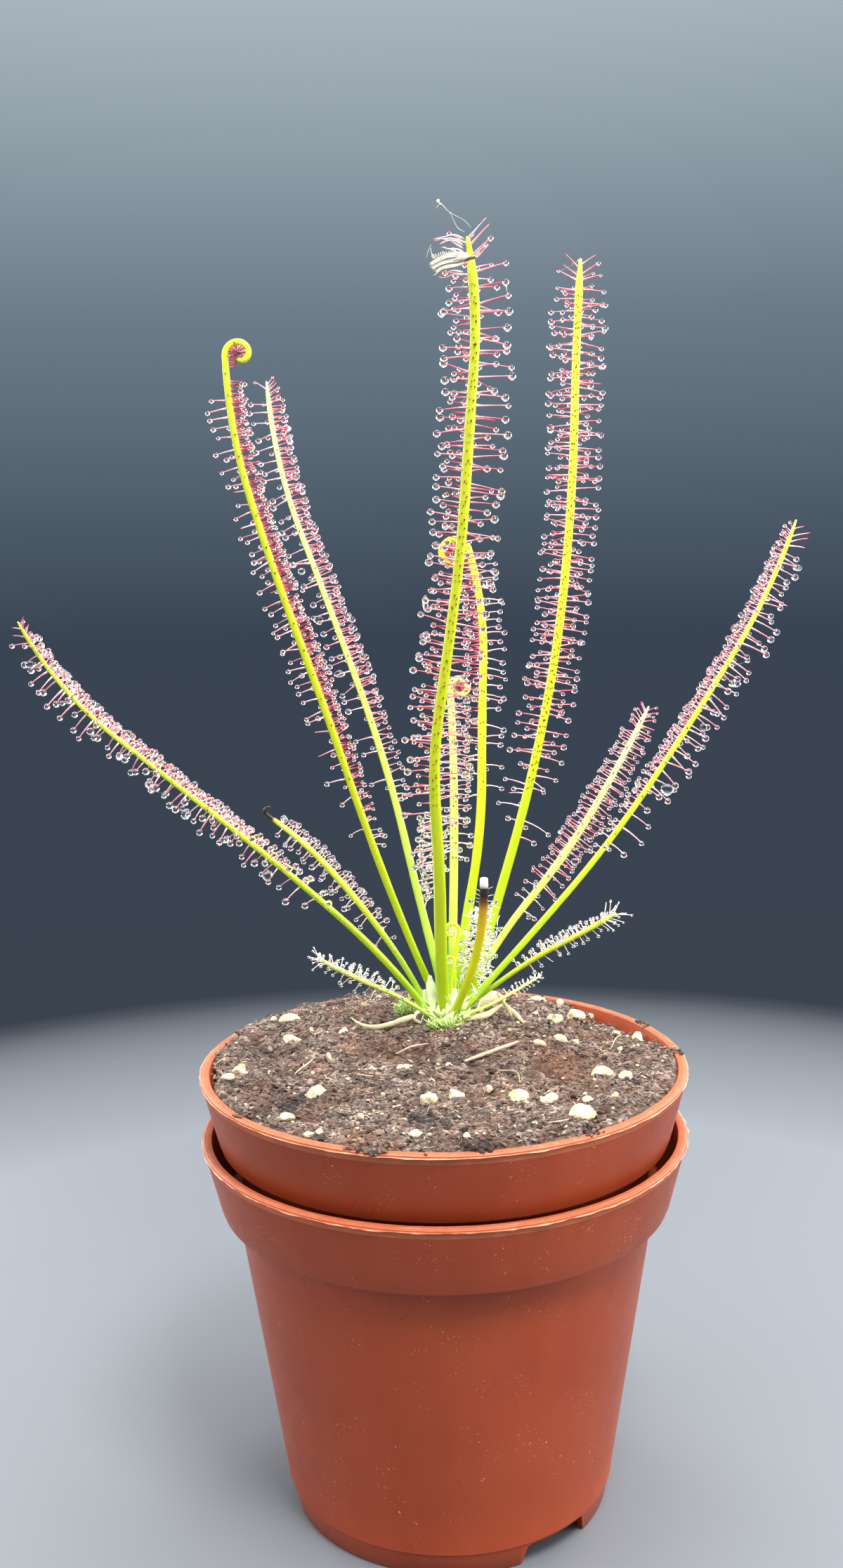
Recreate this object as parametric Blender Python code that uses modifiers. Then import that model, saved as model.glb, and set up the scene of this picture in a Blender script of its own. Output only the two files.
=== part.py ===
"""A thread-leaved sundew growing in a nursery pot that stands nested in a second, equal pot.

The model is in metres, +Z up. Its origin is on the pots' axis, on the ground under the outer
pot's foot. -Y is the front, +X is the right. Dimensions below are in millimetres and degrees.
"""
import math
import random
from collections import namedtuple

import bmesh
import bpy
from mathutils import Vector

MM = 0.001
OBJECT_NAME = "potted_sundew"
CLEARANCE = 0.3
SMOOTH_ANGLE = 40.0

# The nursery pot
RIM_RADIUS = 45.0
RIM_HEIGHT = 71.7
LIP_WIDTH = 1.75
LIP_ROUNDING = 0.35
LIP_INNER_BEVEL = 0.15
LIP_BAND = 0.9
BAND_DRAFT = 0.05
COLLAR_HEIGHT = 13.0
COLLAR_FOOT_RADIUS = 41.8
BODY_TOP_RADIUS = 39.1
FOOT_HEIGHT = 4.7
FOOT_LINE_RADIUS = 31.1
FOOT_RADIUS = 30.1
FOOT_STEP = 0.25
FOOT_ROUNDING = 0.3
EDGE_BEVEL = 0.2
FLOOR_CORNER = 0.8
WALL = 1.5
FLOOR_UNDERSIDE = 3.4
POT_STEPS = 48
COLLAR_FOOT_HEIGHT = RIM_HEIGHT - COLLAR_HEIGHT

# The holes in the pot's floor and the notches in its foot
DRAIN_HOLES = 6
DRAIN_HOLE_RADIUS = 3.0
DRAIN_CIRCLE_RADIUS = 20.0
NOTCHES = 3
NOTCH_AZIMUTH = -51.5
NOTCH_WIDTH = 13.6
NOTCH_HEIGHT = 4.0
NOTCH_FLARE = 1.2
NOTCH_FILLET = 1.2
NOTCH_REACH = (25.0, 34.0)
CUTTER_EXCESS = 1.0

# How the pots stand in each other
NEST_GAP = 0.33
INNER_POT_TURN = 40.0
BODY_SLOPE = (BODY_TOP_RADIUS - FOOT_LINE_RADIUS) / (COLLAR_FOOT_HEIGHT - FOOT_HEIGHT)
COLLAR_SLOPE = (RIM_RADIUS - COLLAR_FOOT_RADIUS) / COLLAR_HEIGHT
NEST_PITCH = (WALL + NEST_GAP) / math.sin(math.atan(BODY_SLOPE))

# The soil
SOIL_LEVEL = NEST_PITCH + RIM_HEIGHT - 0.1
SOIL_SIDES = 44
SOIL_RINGS = (0.91, 0.82, 0.71, 0.6, 0.49, 0.38, 0.26, 0.13)
SOIL_EDGE_DROP = 0.3
LUMP_HEIGHT = 0.25
LUMP_LENGTH = 11.0
LUMP_SHIFT = 1.0
LUMP_FREE_RADIUS = 10.0

# The crown, an oval dome on a short rootstock
CROWN_CENTRE = (1.2, 14.4)
CROWN_HALF_WIDTH = 5.2
CROWN_HALF_DEPTH = 7.0
CROWN_HEIGHT = 1.3
CROWN_LIFT = 0.45
CROWN_RIM = 0.1
CROWN_UNDERCUT = 0.3
CROWN_STEPS = 6
CROWN_SIDES = 24
ROOT_RADIUS = 1.9
ROOT_DEPTH = 5.0
ROOT_TAPER = 0.8

# Tubes
LEAF_STEP = 8.0
LEAF_MIN_STEPS = 8
COIL_STEPS_PER_TURN = 11
TIP_SHARE = 0.45
STRAND_STEPS = 3

# Lumps
LUMP_ROUGHNESS = 0.1
POCKET_ROOM = 0.05

# Soft rises and dips of the soil: centre x, centre y, height and spread
SOIL_SWELLS = (
    (0.0, 14.0, 3.9, 14.0),
    (-30.0, 22.0, 0.9, 12.0),
    (33.0, 24.0, -2.8, 10.0),
)

# A leaf leans by its "right" angles, one for each equal share of its length, and by "back" all
# the way. Its widths are those at the base, halfway and at the tip. A coil is its first and last
# radius, its turns, and the side that it rolls to.
Coil = namedtuple("Coil", "start end turns side")
Leaf = namedtuple("Leaf", "name base length right back width coil colour")

LEAVES = (
    Leaf("leaf_tall_middle", (0.3, 11.0), 141.0,
         (-1.5, 0.0, -3.5, 9.0, 8.0, 4.5, 4.5, -9.5), -10.0, (2.3, 1.85, 1.6), None, "leaf_yellow"),
    Leaf("leaf_tall_right", (5.2, 17.2), 146.5,
         (17.0, 17.0, 12.0, 6.0, 2.0, 4.0), 6.5, (1.9, 1.65, 1.5), None, "leaf_yellow"),
    Leaf("leaf_left_coiled", (-0.7, 14.6), 128.2,
         (-22.5, -19.0, -16.5, -18.5, -15.3, 0.0), -6.0, (1.4, 1.4, 1.15), Coil(2.5, 0.7, 0.95, 1),
         "leaf_yellow"),
    Leaf("leaf_left_rear", (0.7, 18.7), 128.5,
         (-14.5, -12.5, -19.5, -20.5, -4.0), 10.5, (1.7, 1.25, 0.9), None, "leaf_pale"),
    Leaf("leaf_far_left", (-2.9, 12.0), 107.0,
         (-32.0, -43.5, -47.0, -47.0, -21.5), -18.5, (1.35, 1.05, 0.65), None, "leaf_green"),
    Leaf("leaf_left_brown_tip", (-2.9, 15.0), 49.5,
         (-27.0, -36.5, -42.5, -56.0), 14.5, (1.0, 1.3, 0.95), Coil(1.0, 0.7, 0.45, 1), "leaf_green"),
    Leaf("leaf_low_left", (-2.3, 9.6), 29.4,
         (-42.0, -57.5, -50.0), -41.5, (0.75, 0.9, 1.0), None, "leaf_pale"),
    Leaf("leaf_middle_coiled", (2.9, 19.7), 90.0,
         (7.0, 11.0, 1.0, 2.5, -16.0), 9.0, (2.05, 1.7, 1.35), Coil(3.0, 1.4, 1.15, -1), "leaf_yellow"),
    Leaf("leaf_middle_short_coiled", (2.0, 17.0), 61.5,
         (1.5, 2.0, 0.5, -3.0), 8.0, (1.85, 1.6, 1.35), Coil(1.9, 1.0, 1.1, 1), "leaf_pale"),
    Leaf("leaf_wet_thin", (-1.0, 12.7), 38.0,
         (0.8, -0.3, -3.0), -2.5, (0.7, 0.65, 0.5), Coil(0.9, 0.7, 0.4, 1), "leaf_pale"),
    Leaf("leaf_right_rear", (5.0, 20.3), 71.5,
         (26.5, 43.0, 33.5, 29.5), 21.0, (1.35, 1.5, 1.0), None, "leaf_pale"),
    Leaf("leaf_far_right", (4.4, 12.2), 114.5,
         (44.0, 42.0, 35.0, 32.5, 20.0), 8.5, (1.35, 1.1, 0.85), None, "leaf_green"),
    Leaf("leaf_low_right", (5.4, 15.2), 35.0,
         (47.5, 51.5, 60.0, 55.0), -22.0, (0.95, 1.0, 1.0), None, "leaf_green"),
    Leaf("leaf_low_right_small", (4.5, 9.6), 17.5,
         (76.0, 68.0, 66.0), 50.0, (0.75, 0.65, 0.5), None, "leaf_pale"),
    Leaf("leaf_front_withered", (1.9, 8.5), 30.0,
         (26.0, 17.5, 7.0, -1.5), -13.5, (1.5, 1.65, 1.9), None, "leaf_yellow"),
    Leaf("leaf_front_wet", (3.8, 14.5), 20.5,
         (17.5, 15.5, -0.5), -4.5, (1.1, 1.1, 0.8), None, "leaf_pale"),
    Leaf("young_leaf_upper", (1.7, 14.4), 15.0,
         (5.0, 9.0), -2.0, (0.8, 0.8, 0.7), Coil(1.5, 0.8, 1.0, -1), "leaf_yellow"),
    Leaf("young_leaf_lower", (1.4, 12.5), 9.5,
         (5.0, 9.0), 0.0, (0.6, 0.6, 0.5), Coil(0.9, 0.6, 0.9, -1), "leaf_yellow"),
)

# Slender things that lie on the soil: points x, y and height over the soil, and end widths
Strand = namedtuple("Strand", "name points width colour")
STRANDS = (
    Strand("dead_leaf_left", ((-5.2, 10.4, 1.5), (-7.2, 9.8, 1.4), (-10.5, 9.2, 1.0), (-13.6, 9.4, 0.9),
                              (-16.0, 12.0, 0.9), (-18.2, 17.0, 1.0)), (0.9, 0.7), "dead_leaf"),
    Strand("dead_leaf_right", ((6.6, 16.8, 2.4), (8.2, 18.3, 3.2), (10.4, 20.4, 3.4),
                               (13.0, 22.6, 2.6)), (1.4, 0.9), "dead_leaf"),
    Strand("twig", ((3.6, -6.9, 0.8), (7.0, -4.4, 0.9), (10.6, -1.6, 1.0), (14.4, 2.1, 1.1)),
           (0.55, 0.7), "twig_brown"),
)

# Grains of pumice and tufts of moss, sunk into the soil: x, y, width, depth, height and sinking
Lump = namedtuple("Lump", "name x y size sunk turn colour")
GRAIN_PLACES = (
    (22.7, -30.1, (5.4, 4.6, 3.9), 1.3, 10),
    (12.8, -21.8, (4.0, 3.0, 2.9), 1.0, -35),
    (18.4, -21.3, (3.3, 2.8, 2.4), 0.8, 20),
    (28.1, -8.7, (4.4, 3.0, 2.2), 0.8, 15),
    (32.6, -11.2, (2.7, 2.6, 2.2), 0.8, 60),
    (38.0, 14.0, (3.2, 2.4, 2.3), 0.7, 80),
    (27.0, 28.2, (4.2, 2.7, 2.8), 0.9, -30),
    (22.6, 24.0, (3.0, 2.8, 2.7), 0.9, 0),
    (19.8, 36.0, (5.2, 3.0, 2.2), 0.7, 5),
    (-2.7, -21.3, (3.2, 2.9, 2.9), 0.8, 30),
    (1.8, -19.6, (2.8, 2.4, 2.3), 0.8, -20),
    (-30.7, 21.0, (3.9, 2.8, 2.2), 0.7, 20),
    (-38.0, 9.0, (3.4, 2.2, 1.9), 0.7, 85),
    (-29.2, 10.3, (3.6, 2.4, 1.9), 0.7, 20),
    (-37.4, -5.2, (2.6, 2.6, 2.3), 0.8, 40),
    (-22.0, -17.0, (4.6, 3.2, 2.6), 0.8, -8),
    (-26.5, -28.0, (2.5, 2.1, 1.9), 0.6, 25),
)
MOSSES = (
    Lump("moss_left", -7.3, 16.4, (3.6, 3.2, 4.6), 1.2, 0, "moss_green"),
    Lump("moss_front", -0.3, 6.0, (5.8, 2.4, 2.6), 0.7, 5, "moss_green"),
)

# The dry insect held at the top of the middle leaf
INSECT_CENTRE = (3.7, -15.9, 224.3)
INSECT_SIZE = (7.0, 1.3, 2.1)
INSECT_TILT = 6.0

# Base colour and roughness of each material
COLOURS = {
    "pot_terracotta": ((0.45, 0.13, 0.06), 0.45),
    "soil_brown": ((0.07, 0.05, 0.04), 0.95),
    "crown_green": ((0.45, 0.55, 0.15), 0.6),
    "leaf_yellow": ((0.55, 0.62, 0.05), 0.4),
    "leaf_green": ((0.35, 0.55, 0.05), 0.4),
    "leaf_pale": ((0.6, 0.68, 0.2), 0.45),
    "dead_leaf": ((0.75, 0.65, 0.3), 0.7),
    "moss_green": ((0.2, 0.35, 0.08), 0.8),
    "pumice": ((0.8, 0.75, 0.55), 0.9),
    "twig_brown": ((0.45, 0.33, 0.22), 0.8),
    "insect_pale": ((0.75, 0.7, 0.6), 0.7),
}


def clear_scene():
    """Removes whatever objects the file holds."""
    for obj in list(bpy.data.objects):
        bpy.data.objects.remove(obj, do_unlink=True)


def make_collection(name):
    """A new collection under the scene's own."""
    group = bpy.data.collections.new(name)
    bpy.context.scene.collection.children.link(group)
    return group


def make_material(name):
    """A Principled material with the colour and roughness listed for it."""
    colour, roughness = COLOURS[name]
    mat = bpy.data.materials.new(name)
    mat.use_nodes = True
    shader = mat.node_tree.nodes["Principled BSDF"]
    shader.inputs["Base Color"].default_value = (*colour, 1.0)
    shader.inputs["Roughness"].default_value = roughness
    shader.inputs["Metallic"].default_value = 0.0
    return mat


def add_object(name, data, group, colour=None):
    """Links a new object, with the material that COLOURS names."""
    obj = bpy.data.objects.new(name, data)
    group.objects.link(obj)
    if colour:
        data.materials.append(bpy.data.materials.get(colour) or make_material(colour))
    return obj


def add_mesh(name, bm, group, colour=None):
    """Turns a bmesh into a smooth-shaded object."""
    mesh = bpy.data.meshes.new(name)
    bmesh.ops.recalc_face_normals(bm, faces=bm.faces)
    bm.to_mesh(mesh)
    bm.free()
    mesh.shade_smooth()
    mesh.set_sharp_from_angle(angle=math.radians(SMOOTH_ANGLE))
    return add_object(name, mesh, group, colour)


def add_cutter(name, bm, group):
    """An object that only cuts others, so it isn't rendered."""
    obj = add_mesh(name, bm, group)
    obj.hide_render = True
    obj.display_type = "WIRE"
    return obj


def cut(obj, cutters):
    """Subtracts each cutter from an object."""
    for cutter in cutters:
        difference = obj.modifiers.new(cutter.name, "BOOLEAN")
        difference.operation = "DIFFERENCE"
        difference.solver = "EXACT"
        difference.object = cutter


def turned(name, profile, steps, group, colour):
    """A body turned about Z from radius and height pairs that run down its outer side."""
    mesh = bpy.data.meshes.new(name)
    points = [(r * MM, 0.0, z * MM) for r, z in profile]
    mesh.from_pydata(points, [(i, i + 1) for i in range(len(points) - 1)], [])
    obj = add_object(name, mesh, group, colour)
    screw = obj.modifiers.new("turn", "SCREW")
    screw.steps = steps
    screw.render_steps = steps
    screw.use_merge_vertices = True
    screw.merge_threshold = 0.00001
    screw.use_smooth_shade = True
    return obj


def body_radius(z):
    """Outer radius of the pot's body at a height over its own foot."""
    return FOOT_LINE_RADIUS + (z - FOOT_HEIGHT) * BODY_SLOPE


def collar_radius(z):
    """Outer radius of the pot's collar at a height over its own foot."""
    return COLLAR_FOOT_RADIUS + (z - COLLAR_FOOT_HEIGHT) * COLLAR_SLOPE


BODY_WALL = WALL / math.cos(math.atan(BODY_SLOPE))
COLLAR_WALL = WALL / math.cos(math.atan(COLLAR_SLOPE))
FLOOR_TOP = FLOOR_UNDERSIDE + WALL
SHOULDER_TOP = COLLAR_FOOT_HEIGHT + WALL


def pot_profile():
    """Half section of the pot, from the middle of its floor round to its floor's underside."""
    inner_foot = body_radius(FLOOR_TOP) - BODY_WALL
    lip_inside = RIM_RADIUS - LIP_WIDTH
    lip_foot = RIM_HEIGHT - LIP_BAND
    collar_top = lip_foot - EDGE_BEVEL
    return (
        (0.0, FLOOR_TOP),
        (inner_foot - FLOOR_CORNER, FLOOR_TOP),
        (body_radius(FLOOR_TOP + FLOOR_CORNER) - BODY_WALL, FLOOR_TOP + FLOOR_CORNER),
        (body_radius(SHOULDER_TOP) - BODY_WALL, SHOULDER_TOP),
        (collar_radius(SHOULDER_TOP) - COLLAR_WALL, SHOULDER_TOP),
        (lip_inside, RIM_HEIGHT - LIP_ROUNDING),
        (lip_inside + LIP_INNER_BEVEL, RIM_HEIGHT),
        (RIM_RADIUS - LIP_ROUNDING, RIM_HEIGHT),
        (RIM_RADIUS, RIM_HEIGHT - LIP_ROUNDING),
        (RIM_RADIUS - BAND_DRAFT, lip_foot),
        (collar_radius(collar_top), collar_top),
        (collar_radius(COLLAR_FOOT_HEIGHT + EDGE_BEVEL), COLLAR_FOOT_HEIGHT + EDGE_BEVEL),
        (COLLAR_FOOT_RADIUS - EDGE_BEVEL, COLLAR_FOOT_HEIGHT),
        (BODY_TOP_RADIUS + EDGE_BEVEL, COLLAR_FOOT_HEIGHT),
        (body_radius(COLLAR_FOOT_HEIGHT - EDGE_BEVEL), COLLAR_FOOT_HEIGHT - EDGE_BEVEL),
        (FOOT_LINE_RADIUS, FOOT_HEIGHT),
        (FOOT_LINE_RADIUS - FOOT_STEP, FOOT_HEIGHT - FOOT_STEP),
        (FOOT_RADIUS, FOOT_ROUNDING),
        (FOOT_RADIUS - FOOT_ROUNDING, 0.0),
        (FOOT_RADIUS - WALL, 0.0),
        (FOOT_RADIUS - WALL, FLOOR_UNDERSIDE),
        (0.0, FLOOR_UNDERSIDE),
    )


def notch_cutter(name, azimuth, group):
    """A round-cornered wedge that cuts one notch through the foot ring."""
    half_top = NOTCH_WIDTH / 2
    corner_x, corner_z = half_top - NOTCH_FILLET, NOTCH_HEIGHT - NOTCH_FILLET
    turns = [math.radians(a) for a in (90, 60, 30, 0)]
    right = [(corner_x + NOTCH_FILLET * math.cos(a), corner_z + NOTCH_FILLET * math.sin(a))
             for a in turns]
    right.append((half_top + NOTCH_FLARE, -CUTTER_EXCESS))
    outline = right + [(-x, z) for x, z in reversed(right)]
    near, far = NOTCH_REACH
    bm = bmesh.new()
    face = bm.faces.new([bm.verts.new((x * MM, near * MM, z * MM)) for x, z in outline])
    grown = bmesh.ops.extrude_face_region(bm, geom=[face])["geom"]
    moved = [v for v in grown if isinstance(v, bmesh.types.BMVert)]
    bmesh.ops.translate(bm, verts=moved, vec=(0.0, (far - near) * MM, 0.0))
    obj = add_cutter(name, bm, group)
    obj.rotation_euler.z = math.radians(azimuth - 90)
    return obj


def drain_cutter(name, azimuth, group):
    """A cylinder that cuts one drain hole through the floor."""
    bm = bmesh.new()
    bmesh.ops.create_cone(bm, cap_ends=True, segments=12, radius1=DRAIN_HOLE_RADIUS * MM,
                          radius2=DRAIN_HOLE_RADIUS * MM, depth=4 * WALL * MM)
    obj = add_cutter(name, bm, group)
    turn = math.radians(azimuth)
    x, y = DRAIN_CIRCLE_RADIUS * math.cos(turn), DRAIN_CIRCLE_RADIUS * math.sin(turn)
    obj.location = Vector((x, y, (FLOOR_UNDERSIDE + FLOOR_TOP) / 2)) * MM
    return obj


def make_pot(name, height, turn, group, cutters):
    """One nursery pot that stands with its foot at a height, turned about its axis."""
    pot = turned(name, pot_profile(), POT_STEPS, group, "pot_terracotta")
    tools = []
    for i in range(NOTCHES):
        azimuth = NOTCH_AZIMUTH + i * 360 / NOTCHES
        tools.append(notch_cutter(f"{name}_notch_{i + 1}", azimuth, cutters))
    for i in range(DRAIN_HOLES):
        tools.append(drain_cutter(f"{name}_drain_{i + 1}", i * 360 / DRAIN_HOLES, cutters))
    cut(pot, tools)
    stand = bpy.data.objects.new(f"{name}_stand", None)
    group.objects.link(stand)
    for obj in [pot, *tools]:
        obj.parent = stand
    stand.location.z = height * MM
    stand.rotation_euler.z = math.radians(turn)
    return pot


def soil_height(x, y):
    """Height of the soil's surface over the ground."""
    z = SOIL_LEVEL
    for cx, cy, rise, spread in SOIL_SWELLS:
        z += rise * math.exp(-((x - cx) ** 2 + (y - cy) ** 2) / (2 * spread ** 2))
    waves = 2 * math.pi / LUMP_LENGTH
    lump = math.sin(x * waves + LUMP_SHIFT) * math.cos(y * waves)
    from_crown = (x - CROWN_CENTRE[0]) ** 2 + (y - CROWN_CENTRE[1]) ** 2
    away = 1 - math.exp(-from_crown / (2 * LUMP_FREE_RADIUS ** 2))
    return z + LUMP_HEIGHT * (lump - 1) * away


def ring(bm, radius, height):
    """A ring of the soil's points, at one height or at the heights that a function gives."""
    points = []
    for i in range(SOIL_SIDES):
        turn = 2 * math.pi * i / SOIL_SIDES
        x, y = radius * math.cos(turn), radius * math.sin(turn)
        z = height(x, y) if callable(height) else height
        points.append(bm.verts.new((x * MM, y * MM, z * MM)))
    return points


def soil_edge(bm):
    """The ring where the soil's top meets the inner pot's collar."""
    widest = RIM_RADIUS - LIP_WIDTH - 1.5 * CLEARANCE
    points = []
    for i in range(SOIL_SIDES):
        turn = 2 * math.pi * i / SOIL_SIDES
        z = soil_height(widest * math.cos(turn), widest * math.sin(turn)) - SOIL_EDGE_DROP
        inside = collar_radius(z - NEST_PITCH) - COLLAR_WALL
        radius = min(widest, inside - 1.5 * CLEARANCE)
        points.append(bm.verts.new((radius * math.cos(turn) * MM, radius * math.sin(turn) * MM, z * MM)))
    return points


def make_soil(group, cutters, sunk):
    """The soil: a plug that follows the inner pot's inside, with an uneven top."""
    foot = NEST_PITCH + FLOOR_TOP + CLEARANCE
    shoulder = NEST_PITCH + SHOULDER_TOP + CLEARANCE
    body_top = body_radius(SHOULDER_TOP) - BODY_WALL - CLEARANCE
    body_foot = body_radius(FLOOR_TOP) - BODY_WALL - CLEARANCE
    collar_foot = collar_radius(SHOULDER_TOP) - COLLAR_WALL - CLEARANCE
    bm = bmesh.new()
    rings = [
        ring(bm, body_foot - FLOOR_CORNER - EDGE_BEVEL, foot),
        ring(bm, body_foot, foot + FLOOR_CORNER + EDGE_BEVEL),
        ring(bm, body_top, shoulder),
        ring(bm, collar_foot, shoulder),
        soil_edge(bm),
    ]
    rings += [ring(bm, RIM_RADIUS * share, soil_height) for share in SOIL_RINGS]
    for low, high in zip(rings, rings[1:]):
        for i in range(SOIL_SIDES):
            j = (i + 1) % SOIL_SIDES
            bm.faces.new((low[i], low[j], high[j], high[i]))
    bm.faces.new(rings[0][::-1])
    top = bm.verts.new((0.0, 0.0, soil_height(0.0, 0.0) * MM))
    for i in range(SOIL_SIDES):
        bm.faces.new((rings[-1][i], rings[-1][(i + 1) % SOIL_SIDES], top))
    soil = add_mesh("soil", bm, group, "soil_brown")
    cut(soil, [root_pocket(cutters), *[pocket(lump, cutters) for lump in sunk]])
    return soil


def root_pocket(group):
    """The hole in the soil that holds the crown's rootstock."""
    radius = (ROOT_RADIUS + 1.5 * CLEARANCE) * MM
    depth = ROOT_DEPTH + CUTTER_EXCESS
    bm = bmesh.new()
    bmesh.ops.create_cone(bm, cap_ends=True, segments=16, radius1=radius, radius2=radius,
                          depth=depth * MM)
    obj = add_cutter("root_pocket", bm, group)
    foot = crown_foot() - ROOT_DEPTH - 1.5 * CLEARANCE
    obj.location = Vector((*CROWN_CENTRE, foot + depth / 2)) * MM
    return obj


def crown_foot():
    """Height of the crown's underside over the ground."""
    return soil_height(*CROWN_CENTRE) + CROWN_LIFT


def crown_top(x, y):
    """Height of the crown's dome over the ground."""
    across = (x - CROWN_CENTRE[0]) / CROWN_HALF_WIDTH
    along = (y - CROWN_CENTRE[1]) / CROWN_HALF_DEPTH
    share = min(1.0, across ** 2 + along ** 2)
    return crown_foot() + CROWN_HEIGHT * math.sqrt(1 - share)


def make_crown(group):
    """The oval crown that the leaves spring from, with its rootstock."""
    quarter = [math.pi / 2 * i / CROWN_STEPS for i in range(CROWN_STEPS + 1)]
    profile = [(CROWN_HALF_WIDTH * math.sin(a), CROWN_HEIGHT * math.cos(a) + CROWN_RIM)
               for a in quarter]
    profile += [(CROWN_HALF_WIDTH - CROWN_UNDERCUT, 0.0), (ROOT_RADIUS, 0.0),
                (ROOT_RADIUS * ROOT_TAPER, -ROOT_DEPTH), (0.0, -ROOT_DEPTH)]
    stretch = CROWN_HALF_DEPTH / CROWN_HALF_WIDTH
    angles = [2 * math.pi * i / CROWN_SIDES for i in range(CROWN_SIDES)]
    bm = bmesh.new()
    loops = []
    for r, z in profile:
        oval = stretch if z >= 0 and r > ROOT_RADIUS else 1.0
        around = angles if r > 0.0 else angles[:1]
        loops.append([bm.verts.new((r * math.cos(a) * MM, r * oval * math.sin(a) * MM, z * MM))
                      for a in around])
    for upper, lower in zip(loops, loops[1:]):
        for i in range(CROWN_SIDES):
            j = (i + 1) % CROWN_SIDES
            corners = [upper[i % len(upper)], upper[j % len(upper)], lower[j % len(lower)],
                       lower[i % len(lower)]]
            bm.faces.new(list(dict.fromkeys(corners)))
    crown = add_mesh("crown", bm, group, "crown_green")
    crown.location = Vector((*CROWN_CENTRE, crown_foot())) * MM
    return crown


def between(values, share):
    """Reads a list of evenly spaced values at a share of its length."""
    place = max(0.0, min(1.0, share)) * (len(values) - 1)
    low = min(int(place), len(values) - 2)
    return values[low] + (values[low + 1] - values[low]) * (place - low)


def leaf_base(leaf):
    """The middle of a leaf's lower end, just over the crown."""
    x, y = leaf.base
    sideways = math.radians(max(abs(leaf.right[0]), abs(leaf.back)))
    tilt_room = leaf.width[0] / 2 * math.sin(sideways)
    return Vector((x, y, crown_top(x, y) + CLEARANCE + EDGE_BEVEL / 2 + tilt_room))


def leaf_centreline(leaf):
    """Points along a leaf in millimetres: its leaning blade and then its coil."""
    steps = max(LEAF_MIN_STEPS, round(leaf.length / LEAF_STEP))
    point = leaf_base(leaf)
    points = [point.copy()]
    back = math.tan(math.radians(leaf.back))
    for i in range(steps):
        lean = math.tan(math.radians(between(leaf.right, (i + 0.5) / steps)))
        point += Vector((lean, back, 1.0)).normalized() * leaf.length / steps
        points.append(point.copy())
    if leaf.coil:
        count = max(4, round(leaf.coil.turns * COIL_STEPS_PER_TURN))
        turn = 2 * math.pi * leaf.coil.turns / count
        angle = math.radians(leaf.right[-1])
        for i in range(count):
            radius = leaf.coil.start + (leaf.coil.end - leaf.coil.start) * i / (count - 1)
            angle += leaf.coil.side * turn
            point += Vector((math.sin(angle), 0.0, math.cos(angle))) * radius * turn
            points.append(point.copy())
    return points


def tube(name, points, widths, group, colour, tip_share=1.0):
    """A closed tube through points in millimetres, of widths that run from base to tip."""
    data = bpy.data.curves.new(name, "CURVE")
    data.dimensions = "3D"
    data.bevel_depth = 0.5 * MM
    data.bevel_resolution = 1
    data.use_fill_caps = True
    spline = data.splines.new("POLY")
    spline.points.add(len(points) - 1)
    last = len(points) - 1
    for i, (slot, point) in enumerate(zip(spline.points, points)):
        slot.co = (*(point * MM), 1.0)
        slot.radius = between(widths, i / last) * (tip_share if i == last else 1.0)
    return add_object(name, data, group, colour)


def make_leaf(leaf, group):
    """One living leaf."""
    return tube(leaf.name, leaf_centreline(leaf), leaf.width, group, leaf.colour, TIP_SHARE)


def make_strand(strand, group):
    """A dead leaf or a twig that lies on the soil, on a smooth curve through its points."""
    given = [Vector((x, y, soil_height(x, y) + lift)) for x, y, lift in strand.points]
    ends = [given[0] * 2 - given[1], *given, given[-1] * 2 - given[-2]]
    points = []
    for a, b, c, d in zip(ends, ends[1:], ends[2:], ends[3:]):
        for i in range(STRAND_STEPS):
            t = i / STRAND_STEPS
            points.append(0.5 * (2 * b + (c - a) * t + (2 * a - 5 * b + 4 * c - d) * t ** 2
                                 + (3 * b - a - 3 * c + d) * t ** 3))
    points.append(given[-1])
    return tube(strand.name, points, strand.width, group, strand.colour)


def rough_ball(size, seed, swell=0.0):
    """A lumpy ball of a width, depth and height; swell moves its skin outwards."""
    noise = random.Random(seed)
    bm = bmesh.new()
    bmesh.ops.create_icosphere(bm, subdivisions=2, radius=1.0)
    for vert in bm.verts:
        bump = 1.0 + noise.uniform(-LUMP_ROUGHNESS, LUMP_ROUGHNESS)
        skin = [axis * bump * half / 2 + swell * axis for axis, half in zip(vert.co, size)]
        vert.co = Vector(skin) * MM
    return bm


def place_lump(obj, lump):
    """Puts a lump where it sinks into the soil."""
    height = soil_height(lump.x, lump.y) + lump.size[2] / 2 - lump.sunk
    obj.location = Vector((lump.x, lump.y, height)) * MM
    obj.rotation_euler.z = math.radians(lump.turn)
    return obj


def pocket(lump, group):
    """The hollow in the soil that a lump lies in."""
    room = CLEARANCE + POCKET_ROOM
    return place_lump(add_cutter(f"{lump.name}_pocket", rough_ball(lump.size, lump.name, room), group),
                      lump)


def make_lump(lump, group):
    """A grain or a tuft of moss."""
    return place_lump(add_mesh(lump.name, rough_ball(lump.size, lump.name), group, lump.colour), lump)


def make_insect(group):
    """The dry insect that the middle leaf caught."""
    obj = add_mesh("caught_insect", rough_ball(INSECT_SIZE, "insect"), group, "insect_pale")
    obj.location = Vector(INSECT_CENTRE) * MM
    obj.rotation_euler.y = math.radians(-INSECT_TILT)
    return obj


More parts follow.
